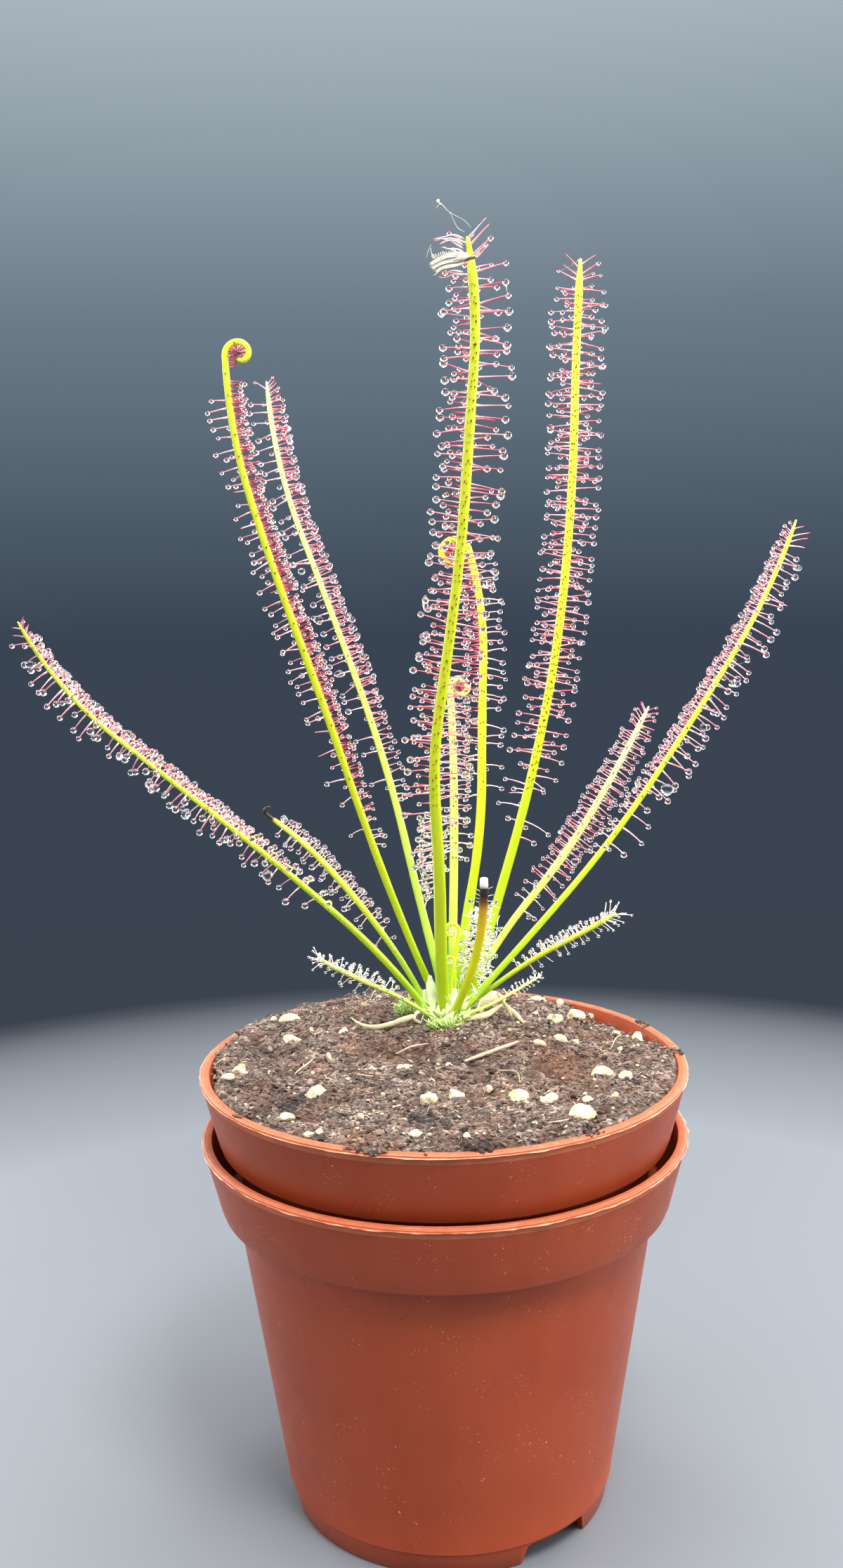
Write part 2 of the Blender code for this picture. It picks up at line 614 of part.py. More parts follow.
def main():
    """Builds the whole plant in its pots."""
    clear_scene()
    parts = make_collection(OBJECT_NAME)
    cutters = make_collection("cutters")
    make_pot("outer_pot", 0.0, 0.0, parts, cutters)
    make_pot("inner_pot", NEST_PITCH, INNER_POT_TURN, parts, cutters)
    grains = [Lump(f"grain_{i + 1:02d}", x, y, size, sunk, turn, "pumice")
              for i, (x, y, size, sunk, turn) in enumerate(GRAIN_PLACES)]
    sunk = [*grains, *MOSSES]
    make_soil(parts, cutters, sunk)
    make_crown(parts)
    for lump in sunk:
        make_lump(lump, parts)
    for leaf in LEAVES:
        make_leaf(leaf, parts)
    for strand in STRANDS:
        make_strand(strand, parts)
    make_insect(parts)


main()
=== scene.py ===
"""The finish of a thread-leaved sundew in two nested nursery pots.

Lengths are in millimetres and angles in degrees, unless a name says otherwise. The frame is the
CAD model's: +Z up, -Y the front, +X the right.
"""
import itertools
import math
from collections import namedtuple

import bmesh
import bpy
import numpy as np
from mathutils import Matrix, Vector


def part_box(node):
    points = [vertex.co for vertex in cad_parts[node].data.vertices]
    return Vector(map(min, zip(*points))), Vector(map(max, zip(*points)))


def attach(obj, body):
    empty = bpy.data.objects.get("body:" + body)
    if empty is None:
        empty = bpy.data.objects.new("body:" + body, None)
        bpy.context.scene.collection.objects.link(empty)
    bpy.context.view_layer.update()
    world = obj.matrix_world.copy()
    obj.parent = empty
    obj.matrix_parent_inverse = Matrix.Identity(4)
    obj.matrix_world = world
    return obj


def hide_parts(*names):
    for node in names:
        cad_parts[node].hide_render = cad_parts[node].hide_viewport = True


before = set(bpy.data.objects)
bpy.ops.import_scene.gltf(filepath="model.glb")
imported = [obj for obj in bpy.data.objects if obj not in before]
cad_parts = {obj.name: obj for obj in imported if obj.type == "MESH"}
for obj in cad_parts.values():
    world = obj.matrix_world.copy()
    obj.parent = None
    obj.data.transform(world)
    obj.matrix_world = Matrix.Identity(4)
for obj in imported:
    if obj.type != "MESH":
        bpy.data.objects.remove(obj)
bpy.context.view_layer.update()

MM = 0.001
BODY = "root"
TAU = 2 * math.pi
rng = np.random.default_rng(7)

# The nursery pot, measured from its own foot
RIM_RADIUS = 45.0
RIM_HEIGHT = 71.7
LIP_WIDTH = 1.75
COLLAR_FOOT_HEIGHT = 58.7
COLLAR_FOOT_RADIUS = 41.8
BODY_TOP_RADIUS = 39.1
FOOT_HEIGHT = 4.7
FOOT_LINE_RADIUS = 31.1
FOOT_RADIUS = 30.1
FOOT_STEP = 0.25
WALL = 1.5
FLOOR_UNDERSIDE = 3.4
DRAIN_HOLES = 6
DRAIN_HOLE_RADIUS = 3.0
DRAIN_CIRCLE_RADIUS = 20.0
NOTCHES = 3
NOTCH_AZIMUTH = -51.5
NOTCH_WIDTH = 13.6
NOTCH_HEIGHT = 4.0
NOTCH_FLARE = 1.2
INNER_POT_TURN = 40.0
POT_STEPS = 240
BODY_SLOPE = (BODY_TOP_RADIUS - FOOT_LINE_RADIUS) / (COLLAR_FOOT_HEIGHT - FOOT_HEIGHT)
COLLAR_SLOPE = (RIM_RADIUS - COLLAR_FOOT_RADIUS) / (RIM_HEIGHT - COLLAR_FOOT_HEIGHT)
NEST_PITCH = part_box("inner_pot")[0].z / MM
RIM_TOP = NEST_PITCH + RIM_HEIGHT

# The soil
SOIL_LEVEL = RIM_TOP - 0.1
SOIL_CELLS = 196
SOIL_SWELLS = (
    (0.0, 14.0, 3.9, 14.0),
    (-30.0, 22.0, 0.9, 12.0),
    (33.0, 24.0, -2.8, 10.0),
)
CROWN_CENTRE = (1.2, 14.4)

# A leaf leans by its "right" angles, one for each equal share of its length, and by "back" all
# the way. Its widths are those at the base, halfway and at the tip. A coil is its first and last
# radius, its turns, and the side that it rolls to. Dry is where along it the leaf starts to wither.
Coil = namedtuple("Coil", "start end turns side")
Leaf = namedtuple("Leaf", "name base length right back width coil slot dry")

LEAVES = (
    Leaf("leaf_tall_middle", (0.3, 11.0), 141.0,
         (-1.5, 0.0, -3.5, 9.0, 8.0, 4.5, 4.5, -9.5), -10.0, (2.3, 1.85, 1.6), None,
         "leaf_yellow", None),
    Leaf("leaf_tall_right", (5.2, 17.2), 146.5,
         (17.0, 17.0, 12.0, 6.0, 2.0, 4.0), 6.5, (1.9, 1.65, 1.5), None, "leaf_yellow", None),
    Leaf("leaf_left_coiled", (-0.7, 14.6), 128.2,
         (-22.5, -19.0, -16.5, -18.5, -15.3, 0.0), -6.0, (1.4, 1.4, 1.15),
         Coil(2.5, 0.7, 0.95, 1), "leaf_yellow", None),
    Leaf("leaf_left_rear", (0.7, 18.7), 128.5,
         (-14.5, -12.5, -19.5, -20.5, -4.0), 10.5, (1.7, 1.25, 0.9), None, "leaf_pale", None),
    Leaf("leaf_far_left", (-2.9, 12.0), 107.0,
         (-32.0, -43.5, -47.0, -47.0, -21.5), -18.5, (1.35, 1.05, 0.65), None, "leaf_green", None),
    Leaf("leaf_left_brown_tip", (-2.9, 15.0), 49.5,
         (-27.0, -36.5, -42.5, -56.0), 14.5, (1.0, 1.3, 0.95), Coil(1.0, 0.7, 0.45, 1),
         "leaf_green", 0.9),
    Leaf("leaf_low_left", (-2.3, 9.6), 29.4,
         (-42.0, -57.5, -50.0), -41.5, (0.75, 0.9, 1.0), None, "leaf_pale", None),
    Leaf("leaf_middle_coiled", (2.9, 19.7), 90.0,
         (7.0, 11.0, 1.0, 2.5, -16.0), 9.0, (2.05, 1.7, 1.35), Coil(3.0, 1.4, 1.15, -1),
         "leaf_yellow", None),
    Leaf("leaf_middle_short_coiled", (2.0, 17.0), 61.5,
         (1.5, 2.0, 0.5, -3.0), 8.0, (1.85, 1.6, 1.35), Coil(1.9, 1.0, 1.1, 1),
         "leaf_pale", None),
    Leaf("leaf_wet_thin", (-1.0, 12.7), 38.0,
         (0.8, -0.3, -3.0), -2.5, (0.7, 0.65, 0.5), Coil(0.9, 0.7, 0.4, 1), "leaf_pale", None),
    Leaf("leaf_right_rear", (5.0, 20.3), 71.5,
         (26.5, 43.0, 33.5, 29.5), 21.0, (1.35, 1.5, 1.0), None, "leaf_pale", None),
    Leaf("leaf_far_right", (4.4, 12.2), 114.5,
         (44.0, 42.0, 35.0, 32.5, 20.0), 8.5, (1.35, 1.1, 0.85), None, "leaf_green", None),
    Leaf("leaf_low_right", (5.4, 15.2), 35.0,
         (47.5, 51.5, 60.0, 55.0), -22.0, (0.95, 1.0, 1.0), None, "leaf_green", None),
    Leaf("leaf_low_right_small", (4.5, 9.6), 17.5,
         (76.0, 68.0, 66.0), 50.0, (0.75, 0.65, 0.5), None, "leaf_pale", None),
    Leaf("leaf_front_withered", (1.9, 8.5), 30.0,
         (26.0, 17.5, 7.0, -1.5), -13.5, (1.5, 1.65, 1.9), None, "leaf_withered", 0.45),
    Leaf("leaf_front_wet", (3.8, 14.5), 20.5,
         (17.5, 15.5, -0.5), -4.5, (1.1, 1.1, 0.8), None, "leaf_pale", None),
    Leaf("young_leaf_upper", (1.7, 14.4), 15.0,
         (5.0, 9.0), -2.0, (0.8, 0.8, 0.7), Coil(1.5, 0.8, 1.0, -1), "leaf_yellow", None),
    Leaf("young_leaf_lower", (1.4, 12.5), 9.5,
         (5.0, 9.0), 0.0, (0.6, 0.6, 0.5), Coil(0.9, 0.6, 0.9, -1), "leaf_yellow", None),
)
LEAF_STEP = 1.3
COIL_STEPS_PER_TURN = 40
LEAF_SIDES = 14

# A band of tentacles: from and to which share of the leaf, which way it faces and how widely, the
# distance from one to the next, the shortest and longest stalk, the drop's width, how red they
# are and how far they droop. Facing is 0 to the right of an upright leaf, 90 to its back, 180 to
# its left and -90 to the front.
Band = namedtuple("Band", "start end facing spread every short long drop red droop")
BANDS = {
    "leaf_tall_middle": (
        Band(0.2, 0.998, 0, 14, 2.1, 4.6, 5.9, 1.3, 0.62, 0.02),
        Band(0.2, 0.99, 38, 16, 2.0, 3.2, 4.8, 1.15, 0.66, 0.04),
        Band(0.17, 0.998, 180, 14, 2.0, 3.4, 5.0, 1.3, 0.62, 0.02),
        Band(0.18, 0.98, 150, 16, 1.15, 2.4, 3.4, 1.1, 0.75, 0.03),
        Band(0.19, 0.998, 95, 34, 0.95, 1.9, 2.7, 1.0, 0.85, 0.0),
    ),
    "leaf_tall_right": (
        Band(0.24, 0.998, 0, 12, 1.65, 3.9, 4.7, 1.15, 0.6, 0.02),
        Band(0.24, 0.998, 180, 12, 1.65, 3.7, 4.6, 1.15, 0.6, 0.02),
        Band(0.22, 0.98, 35, 15, 1.7, 2.5, 3.3, 1.05, 0.7, 0.03),
        Band(0.22, 0.98, 145, 15, 1.9, 2.5, 3.3, 1.05, 0.7, 0.03),
        Band(0.26, 0.97, -28, 10, 2.8, 2.0, 2.8, 1.0, 0.65, 0.03),
        Band(0.26, 0.97, -152, 10, 3.0, 2.0, 2.8, 1.0, 0.65, 0.03),
        Band(0.22, 0.998, 90, 34, 1.25, 1.8, 2.5, 0.95, 0.8, 0.0),
    ),
    "leaf_left_coiled": (
        Band(0.24, 0.9, 2, 34, 0.42, 1.5, 2.7, 0.85, 0.88, 0.02),
        Band(0.24, 0.88, 60, 24, 0.8, 2.0, 2.8, 0.9, 0.85, 0.02),
        Band(0.26, 0.88, 180, 30, 1.65, 1.7, 3.7, 0.95, 0.5, 0.04),
        Band(0.26, 0.86, 112, 22, 1.7, 2.0, 2.8, 0.95, 0.7, 0.02),
        Band(0.915, 0.995, 0, 38, 0.24, 1.0, 1.6, 0.0, 0.68, 0.0),
    ),
    "leaf_left_rear": (
        Band(0.29, 0.998, 8, 36, 0.5, 2.0, 3.0, 1.15, 0.66, 0.02),
        Band(0.3, 0.995, 180, 30, 2.3, 2.5, 4.0, 1.2, 0.5, 0.04),
        Band(0.29, 0.97, 92, 32, 1.25, 1.9, 2.7, 1.05, 0.7, 0.0),
    ),
    "leaf_far_left": (
        Band(0.27, 0.998, 2, 40, 0.46, 1.1, 1.9, 1.25, 0.6, 0.02),
        Band(0.3, 0.97, 66, 24, 1.0, 1.5, 2.1, 1.1, 0.65, 0.02),
        Band(0.27, 0.99, 180, 36, 1.2, 1.7, 3.8, 1.3, 0.55, 0.1),
        Band(0.3, 0.94, -92, 22, 6.5, 0.9, 1.3, 1.25, 0.4, 0.2),
    ),
    "leaf_left_brown_tip": (
        Band(0.26, 0.9, 5, 40, 0.62, 1.0, 1.9, 1.2, 0.45, 0.02),
        Band(0.28, 0.88, 180, 34, 1.3, 1.3, 2.3, 1.15, 0.4, 0.08),
        Band(0.3, 0.86, 90, 30, 1.5, 1.3, 1.9, 1.0, 0.45, 0.0),
    ),
    "leaf_low_left": (
        Band(0.28, 0.997, 5, 42, 0.62, 1.4, 2.3, 0.82, 0.2, 0.02),
        Band(0.3, 0.997, 180, 38, 0.9, 1.4, 2.5, 0.82, 0.18, 0.08),
        Band(0.3, 0.997, 90, 30, 1.3, 1.5, 2.2, 0.75, 0.2, 0.0),
        Band(0.93, 0.999, 90, 170, 0.22, 2.4, 3.2, 0.78, 0.12, 0.0),
    ),
    "leaf_middle_coiled": (
        Band(0.36, 0.84, 0, 26, 1.55, 2.4, 4.0, 1.1, 0.42, 0.14),
        Band(0.42, 0.86, 180, 40, 0.55, 2.2, 3.2, 1.0, 0.85, 0.04),
        Band(0.36, 0.5, 180, 30, 1.9, 2.6, 3.8, 1.05, 0.42, 0.2),
        Band(0.4, 0.84, 90, 34, 1.3, 2.0, 2.7, 1.0, 0.7, 0.02),
        Band(0.86, 0.995, 180, 42, 0.26, 1.4, 2.1, 0.0, 0.7, 0.0),
    ),
    "leaf_middle_short_coiled": (
        Band(0.36, 0.84, 0, 34, 0.85, 1.6, 3.0, 1.1, 0.5, 0.14),
        Band(0.36, 0.84, 180, 34, 1.5, 1.6, 2.7, 1.05, 0.45, 0.14),
        Band(0.38, 0.84, 90, 34, 1.2, 1.6, 2.4, 1.0, 0.6, 0.05),
        Band(0.85, 0.995, 0, 42, 0.26, 0.9, 1.3, 0.0, 0.66, 0.0),
    ),
    "leaf_wet_thin": (
        Band(0.55, 0.98, 180, 60, 0.8, 1.4, 2.6, 1.15, 0.4, 0.12),
        Band(0.7, 0.98, 0, 50, 1.0, 1.2, 2.2, 1.05, 0.4, 0.1),
    ),
    "leaf_right_rear": (
        Band(0.29, 0.99, 0, 36, 0.75, 2.0, 3.2, 0.95, 0.6, 0.06),
        Band(0.29, 0.99, 180, 36, 0.7, 1.9, 3.0, 0.95, 0.6, 0.02),
        Band(0.26, 0.98, 90, 36, 0.9, 1.7, 2.5, 0.9, 0.65, 0.0),
        Band(0.3, 0.96, -90, 26, 2.4, 1.2, 1.8, 0.85, 0.5, 0.0),
    ),
    "leaf_far_right": (
        Band(0.33, 0.985, 180, 40, 0.46, 1.2, 2.2, 1.1, 0.62, 0.0),
        Band(0.34, 0.99, 0, 30, 1.2, 2.2, 4.9, 1.25, 0.5, 0.08),
        Band(0.34, 0.96, 96, 34, 1.15, 1.6, 2.3, 0.95, 0.65, 0.0),
        Band(0.32, 0.94, -85, 24, 5.5, 1.2, 1.9, 1.0, 0.45, 0.1),
    ),
    "leaf_low_right": (
        Band(0.32, 0.997, 180, 42, 0.5, 1.1, 1.9, 0.82, 0.25, 0.0),
        Band(0.34, 0.997, 0, 30, 1.3, 1.2, 2.2, 0.78, 0.22, 0.08),
        Band(0.34, 0.99, 95, 30, 1.1, 1.2, 2.0, 0.72, 0.22, 0.0),
        Band(0.9, 0.999, 0, 170, 0.27, 2.8, 4.0, 0.76, 0.15, 0.0),
    ),
    "leaf_low_right_small": (
        Band(0.45, 0.99, 180, 70, 0.3, 0.8, 1.3, 0.6, 0.1, 0.0),
        Band(0.55, 0.99, 0, 40, 0.8, 0.7, 1.1, 0.55, 0.08, 0.05),
    ),
    "leaf_front_withered": (
        Band(0.42, 0.94, 0, 34, 1.1, 0.9, 1.5, 0.0, 0.08, 0.1),
        Band(0.42, 0.94, 180, 34, 1.0, 0.9, 1.6, 0.0, 0.08, 0.1),
    ),
    "leaf_front_wet": (
        Band(0.2, 0.99, 180, 80, 0.4, 1.4, 3.0, 1.05, 0.2, 0.1),
        Band(0.2, 0.99, 0, 80, 0.4, 1.4, 3.2, 1.05, 0.2, 0.1),
    ),
    "young_leaf_upper": (
        Band(0.62, 0.995, 180, 40, 0.3, 0.5, 0.8, 0.0, 0.18, 0.0),
    ),
    "young_leaf_lower": (
        Band(0.62, 0.995, 180, 40, 0.35, 0.3, 0.5, 0.0, 0.15, 0.0),
    ),
}

# Large drops that have run together: leaf, share of it, facing, distance from the leaf's middle,
# and width, height and depth
Blob = namedtuple("Blob", "leaf share facing reach size")
BLOBS = (
    Blob("leaf_far_left", 0.93, 180, 2.2, (1.9, 1.5, 1.4)),
    Blob("leaf_far_left", 0.66, 180, 3.0, (1.2, 2.4, 1.3)),
    Blob("leaf_far_left", 0.58, 180, 3.4, (1.7, 2.1, 1.6)),
    Blob("leaf_far_left", 0.5, 180, 2.9, (2.0, 1.1, 1.2)),
    Blob("leaf_far_left", 0.4, 180, 3.0, (2.0, 2.2, 1.6)),
    Blob("leaf_far_right", 0.71, 0, 3.4, (2.1, 1.4, 1.4)),
    Blob("leaf_far_right", 0.62, 0, 2.6, (1.4, 1.6, 1.2)),
    Blob("leaf_far_right", 0.5, 0, 3.3, (2.7, 2.5, 2.2)),
    Blob("leaf_far_right", 0.79, 180, 2.2, (1.9, 2.0, 1.5)),
    Blob("leaf_left_rear", 0.62, 180, 2.9, (2.0, 1.9, 1.7)),
    Blob("leaf_left_rear", 0.53, 180, 2.7, (2.2, 1.5, 1.5)),
    Blob("leaf_left_rear", 0.7, 180, 2.6, (1.5, 1.6, 1.3)),
    Blob("leaf_tall_middle", 0.565, 180, 5.0, (1.1, 3.2, 1.1)),
    Blob("leaf_tall_middle", 0.52, 180, 4.6, (1.4, 1.9, 1.2)),
    Blob("leaf_middle_coiled", 0.78, 0, 1.9, (1.5, 1.9, 1.3)),
    Blob("leaf_middle_coiled", 0.6, 180, 1.2, (1.6, 1.6, 1.5)),
    Blob("leaf_right_rear", 0.5, 0, 2.6, (1.7, 1.6, 1.4)),
)


def unit(vectors):
    """Vectors scaled to a length of one."""
    return vectors / np.maximum(np.linalg.norm(vectors, axis=-1, keepdims=True), 1e-12)


def dot(a, b):
    """Dot products along the last axis, which is kept."""
    return (a * b).sum(-1, keepdims=True)


def lattice(cells, seed):
    """A fixed random value from -1 to 1 for each cell of a grid."""
    mixed = cells @ np.array([127.1, 311.7, 74.7]) + seed * 53.3
    return 2 * np.modf(np.abs(np.sin(mixed) * 43758.5453))[0] - 1


def lumps(points, size, seed=0):
    """Smooth random values from -1 to 1, with lumps of a size."""
    place = np.asarray(points) / size
    cell = np.floor(place)
    part = place - cell
    part = part * part * (3 - 2 * part)
    total = np.zeros(place.shape[:-1])
    for corner in itertools.product((0, 1), repeat=3):
        total += np.where(corner, part, 1 - part).prod(-1) * lattice(cell + corner, seed)
    return total


def crumbs(x, y, size, seed=0):
    """Rounded crumbs on a plane: 1 at each crumb's middle, falling to 0 between them."""
    cell = np.floor(np.stack([x, y, np.zeros_like(x)], -1) / size)
    least = np.full(x.shape, 9.0)
    for i, j in itertools.product((-1, 0, 1), repeat=2):
        near = cell + (i, j, 0)
        u = near[..., 0] + 0.5 + 0.45 * lattice(near, seed) - x / size
        v = near[..., 1] + 0.5 + 0.45 * lattice(near, seed + 1) - y / size
        least = np.minimum(least, u * u + v * v)
    return np.clip(1 - least, 0, 1)


class Shape:
    """Points and faces of one piece, with two values at each point for its material."""

    def __init__(self):
        self.points, self.tris, self.quads, self.tones, self.alongs = [], [], [], [], []
        self.size = 0

    def add(self, points, tris=(), quads=(), tone=0.0, along=0.0):
        """Adds points with the faces between them, counted from the first of these points."""
        count = len(points)
        self.points.append(np.asarray(points, float))
        self.tris.append(np.asarray(tris, int).reshape(-1, 3) + self.size)
        self.quads.append(np.asarray(quads, int).reshape(-1, 4) + self.size)
        self.tones.append(np.broadcast_to(tone, count))
        self.alongs.append(np.broadcast_to(along, count))
        self.size += count

    def mesh(self, name, smooth=True):
        """The Blender mesh in metres."""
        tris, quads = np.concatenate(self.tris), np.concatenate(self.quads)
        corners = np.concatenate([tris.ravel(), quads.ravel()])
        starts = np.concatenate([3 * np.arange(len(tris)), 3 * len(tris) + 4 * np.arange(len(quads))])
        mesh = bpy.data.meshes.new(name)
        mesh.vertices.add(self.size)
        mesh.vertices.foreach_set("co", (np.concatenate(self.points) * MM).ravel())
        mesh.loops.add(len(corners))
        mesh.loops.foreach_set("vertex_index", corners)
        mesh.polygons.add(len(starts))
        mesh.polygons.foreach_set("loop_start", starts)
        mesh.polygons.foreach_set("use_smooth", np.full(len(starts), smooth))
        for label, values in (("tone", self.tones), ("along", self.alongs)):
            mesh.attributes.new(label, "FLOAT", "POINT").data.foreach_set(
                "value", np.concatenate(values).astype(np.float32))
        mesh.update(calc_edges=True)
        return mesh


def skin(count, rings, sides):
    """Faces of bodies that each have a first point, rings of points and a last point."""
    first, last = 0, rings * sides + 1
    around = np.arange(sides)
    after = (around + 1) % sides
    quads = [np.stack([1 + i * sides + around, 1 + i * sides + after,
                       1 + (i + 1) * sides + after, 1 + (i + 1) * sides + around], -1)
             for i in range(rings - 1)]
    quads = np.concatenate(quads) if quads else np.zeros((0, 4), int)
    top = 1 + (rings - 1) * sides
    tris = np.concatenate([
        np.stack([np.full(sides, first), 1 + after, 1 + around], -1),
        np.stack([top + around, top + after, np.full(sides, last)], -1)])
    offsets = (np.arange(count) * (last + 1))[:, None, None]
    return (tris + offsets).reshape(-1, 3), (quads + offsets).reshape(-1, 4)


def carried(paths, first):
    """Tangents of paths, and two directions across them that are carried along without twist."""
    tangents = unit(np.gradient(paths, axis=1))
    across = np.empty_like(paths)
    side = np.broadcast_to(np.asarray(first, float), paths[:, 0].shape)
    for i in range(paths.shape[1]):
        tangent = tangents[:, i]
        side = unit(side - dot(side, tangent) * tangent)
        across[:, i] = side
    return tangents, across, np.cross(tangents, across)


def tubes(shape, paths, radii, sides, tone=0.0, first=(1.0, 0.02, 0.01), flat=1.0, along=None,
          section=1.0):
    """Adds a closed tube along each path, which starts and ends in a point.

    Flat is its thickness as a share of its width, and section its shape: a reach for each side.
    """
    paths = np.asarray(paths, float)
    count, length = paths.shape[:2]
    radii = np.broadcast_to(radii, (count, length))
    _, across, other = carried(paths, first)
    angles = TAU * np.arange(sides) / sides
    spokes = (np.cos(angles)[None, None, :, None] * across[:, 1:-1, None]
              + flat * np.sin(angles)[None, None, :, None] * other[:, 1:-1, None])
    spokes = spokes * np.broadcast_to(section, sides)[:, None]
    rings = paths[:, 1:-1, None] + radii[:, 1:-1, None, None] * spokes
    points = np.concatenate([paths[:, :1], rings.reshape(count, -1, 3), paths[:, -1:]], 1)
    share = np.linspace(0, 1, length) if along is None else np.asarray(along)
    share = np.broadcast_to(share, (count, length))
    tone = np.broadcast_to(np.asarray(tone, float).reshape((-1, 1)) if np.ndim(tone) == 1 else tone,
                           (count, length))

    def spread(values):
        middle = np.repeat(values[:, 1:-1], sides, axis=1)
        return np.concatenate([values[:, :1], middle, values[:, -1:]], 1).ravel()

    tris, quads = skin(count, length - 2, sides)
    shape.add(points.reshape(-1, 3), tris, quads, spread(tone), spread(share))


def balls(shape, centres, axes, across, reach, rings=5, sides=9, tone=0.0, rough=0.0, flat=1.0,
          red=None):
    """Adds round bodies, each with an axis, a half width and a half length."""
    centres, axes = np.asarray(centres, float), unit(np.asarray(axes, float))
    turns = np.linspace(0, math.pi, rings + 2)
    reach = np.broadcast_to(reach, len(centres))[:, None]
    across = np.broadcast_to(across, len(centres))[:, None]
    paths = centres[:, None] + axes[:, None] * (-np.cos(turns) * reach)[..., None]
    before = shape.size
    helper = np.cross(axes, (0.02, 0.01, 1.0))
    tubes(shape, paths, across * np.sin(turns), sides, tone, first=helper, flat=flat,
          along=None if red is None else np.asarray(red)[:, None])
    if rough:
        points = shape.points[-1]
        middles = np.repeat(centres, (shape.size - before) // len(centres), axis=0)
        points += (points - middles) * rng.uniform(-rough, rough, (len(points), 1))


def turned(shape, profile, steps, waver=None, tone=0.0):
    """Adds a body turned about Z, from radius and height pairs that run down its outer side."""
    profile = np.array(profile, float)
    angles = -TAU * np.arange(steps) / steps
    middle = profile[1:-1]
    radii = np.repeat(middle[:, :1], steps, 1)
    heights = np.repeat(middle[:, 1:], steps, 1)
    if waver is not None:
        radii, heights = waver(radii, heights, angles)
    rings = np.stack([radii * np.cos(angles), radii * np.sin(angles), heights], -1).reshape(-1, 3)
    ends = [[0.0, 0.0, profile[0, 1]]], [[0.0, 0.0, profile[-1, 1]]]
    tris, quads = skin(1, len(middle), steps)
    shape.add(np.concatenate([ends[0], rings, ends[1]]), tris, quads, tone)


class Finish:
    """A procedural material as it is being made."""

    def __init__(self, name, roughness=0.5, **sockets):
        self.material = bpy.data.materials.new(name)
        self.material.use_nodes = True
        self.nodes = self.material.node_tree.nodes
        self.links = self.material.node_tree.links
        self.shader = self.nodes["Principled BSDF"]
        self.shader.inputs["Roughness"].default_value = roughness
        for label, value in sockets.items():
            self.shader.inputs[label.replace("_", " ")].default_value = value
        self.place = self.nodes.new("ShaderNodeTexCoord").outputs["Object"]

    def value(self, kind, inputs, output=0, **settings):
        """Adds a node, feeds its inputs with numbers or other nodes' outputs, and gives its output."""
        node = self.nodes.new(kind)
        for label, setting in settings.items():
            setattr(node, label, setting)
        for label, given in inputs.items():
            if isinstance(given, bpy.types.NodeSocket):
                self.links.new(given, node.inputs[label])
            else:
                node.inputs[label].default_value = given
        return node.outputs[output]

    def stretched(self, scale):
        """Object coordinates that are stretched along each axis."""
        return self.value("ShaderNodeMapping", {"Vector": self.place, "Scale": scale})

    def noise(self, size, detail=3.0, rough=0.55, vector=None):
        """Noise whose lumps have a size in millimetres."""
        return self.value("ShaderNodeTexNoise", {
            "Vector": vector or self.place, "Scale": 1 / (size * MM), "Detail": detail,
            "Roughness": rough})

    def cells(self, size, vector=None):
        """Distance to the nearest of scattered points, in the pattern's own unit."""
        return self.value("ShaderNodeTexVoronoi", {
            "Vector": vector or self.place, "Scale": 1 / (size * MM)})

    def attribute(self, label):
        """A value that the mesh holds."""
        return self.value("ShaderNodeAttribute", {}, "Fac", attribute_name=label)

    def ramp(self, factor, *stops, ease="LINEAR"):
        """A colour that follows a factor through stops of a place and a colour."""
        node = self.nodes.new("ShaderNodeValToRGB")
        node.color_ramp.interpolation = ease
        points = node.color_ramp.elements
        while len(points) < len(stops):
            points.new(0.5)
        for point, (place, colour) in zip(points, sorted(stops)):
            point.position = place
            point.color = (*colour, 1.0) if np.ndim(colour) else (colour, colour, colour, 1.0)
        self.links.new(factor, node.inputs["Fac"])
        return node.outputs["Color"]

    def mix(self, factor, a, b, blend="MIX"):
        """Two colours mixed."""
        node = self.nodes.new("ShaderNodeMix")
        node.data_type, node.blend_type = "RGBA", blend
        for index, given in ((0, factor), (6, a), (7, b)):
            if isinstance(given, bpy.types.NodeSocket):
                self.links.new(given, node.inputs[index])
            else:
                node.inputs[index].default_value = (*given, 1.0) if np.ndim(given) else given
        return node.outputs[2]

    def sum(self, kind, a, b):
        """A sum, product or other result of two values."""
        return self.value("ShaderNodeMath", {0: a, 1: b}, operation=kind)

    def colour(self, given):
        """Sets the base colour."""
        self.links.new(given, self.shader.inputs["Base Color"])
        return self

    def roughness(self, given, low, high):
        """Lets a pattern move the roughness between two values."""
        spread = self.value("ShaderNodeMapRange", {"Value": given, "To Min": low, "To Max": high})
        self.links.new(spread, self.shader.inputs["Roughness"])
        return self

    def bump(self, height, depth, strength=1.0):
        """A relief of a depth in millimetres."""
        relief = self.value("ShaderNodeBump", {"Height": height, "Distance": depth * MM,
                                               "Strength": strength})
        self.links.new(relief, self.shader.inputs["Normal"])
        return self


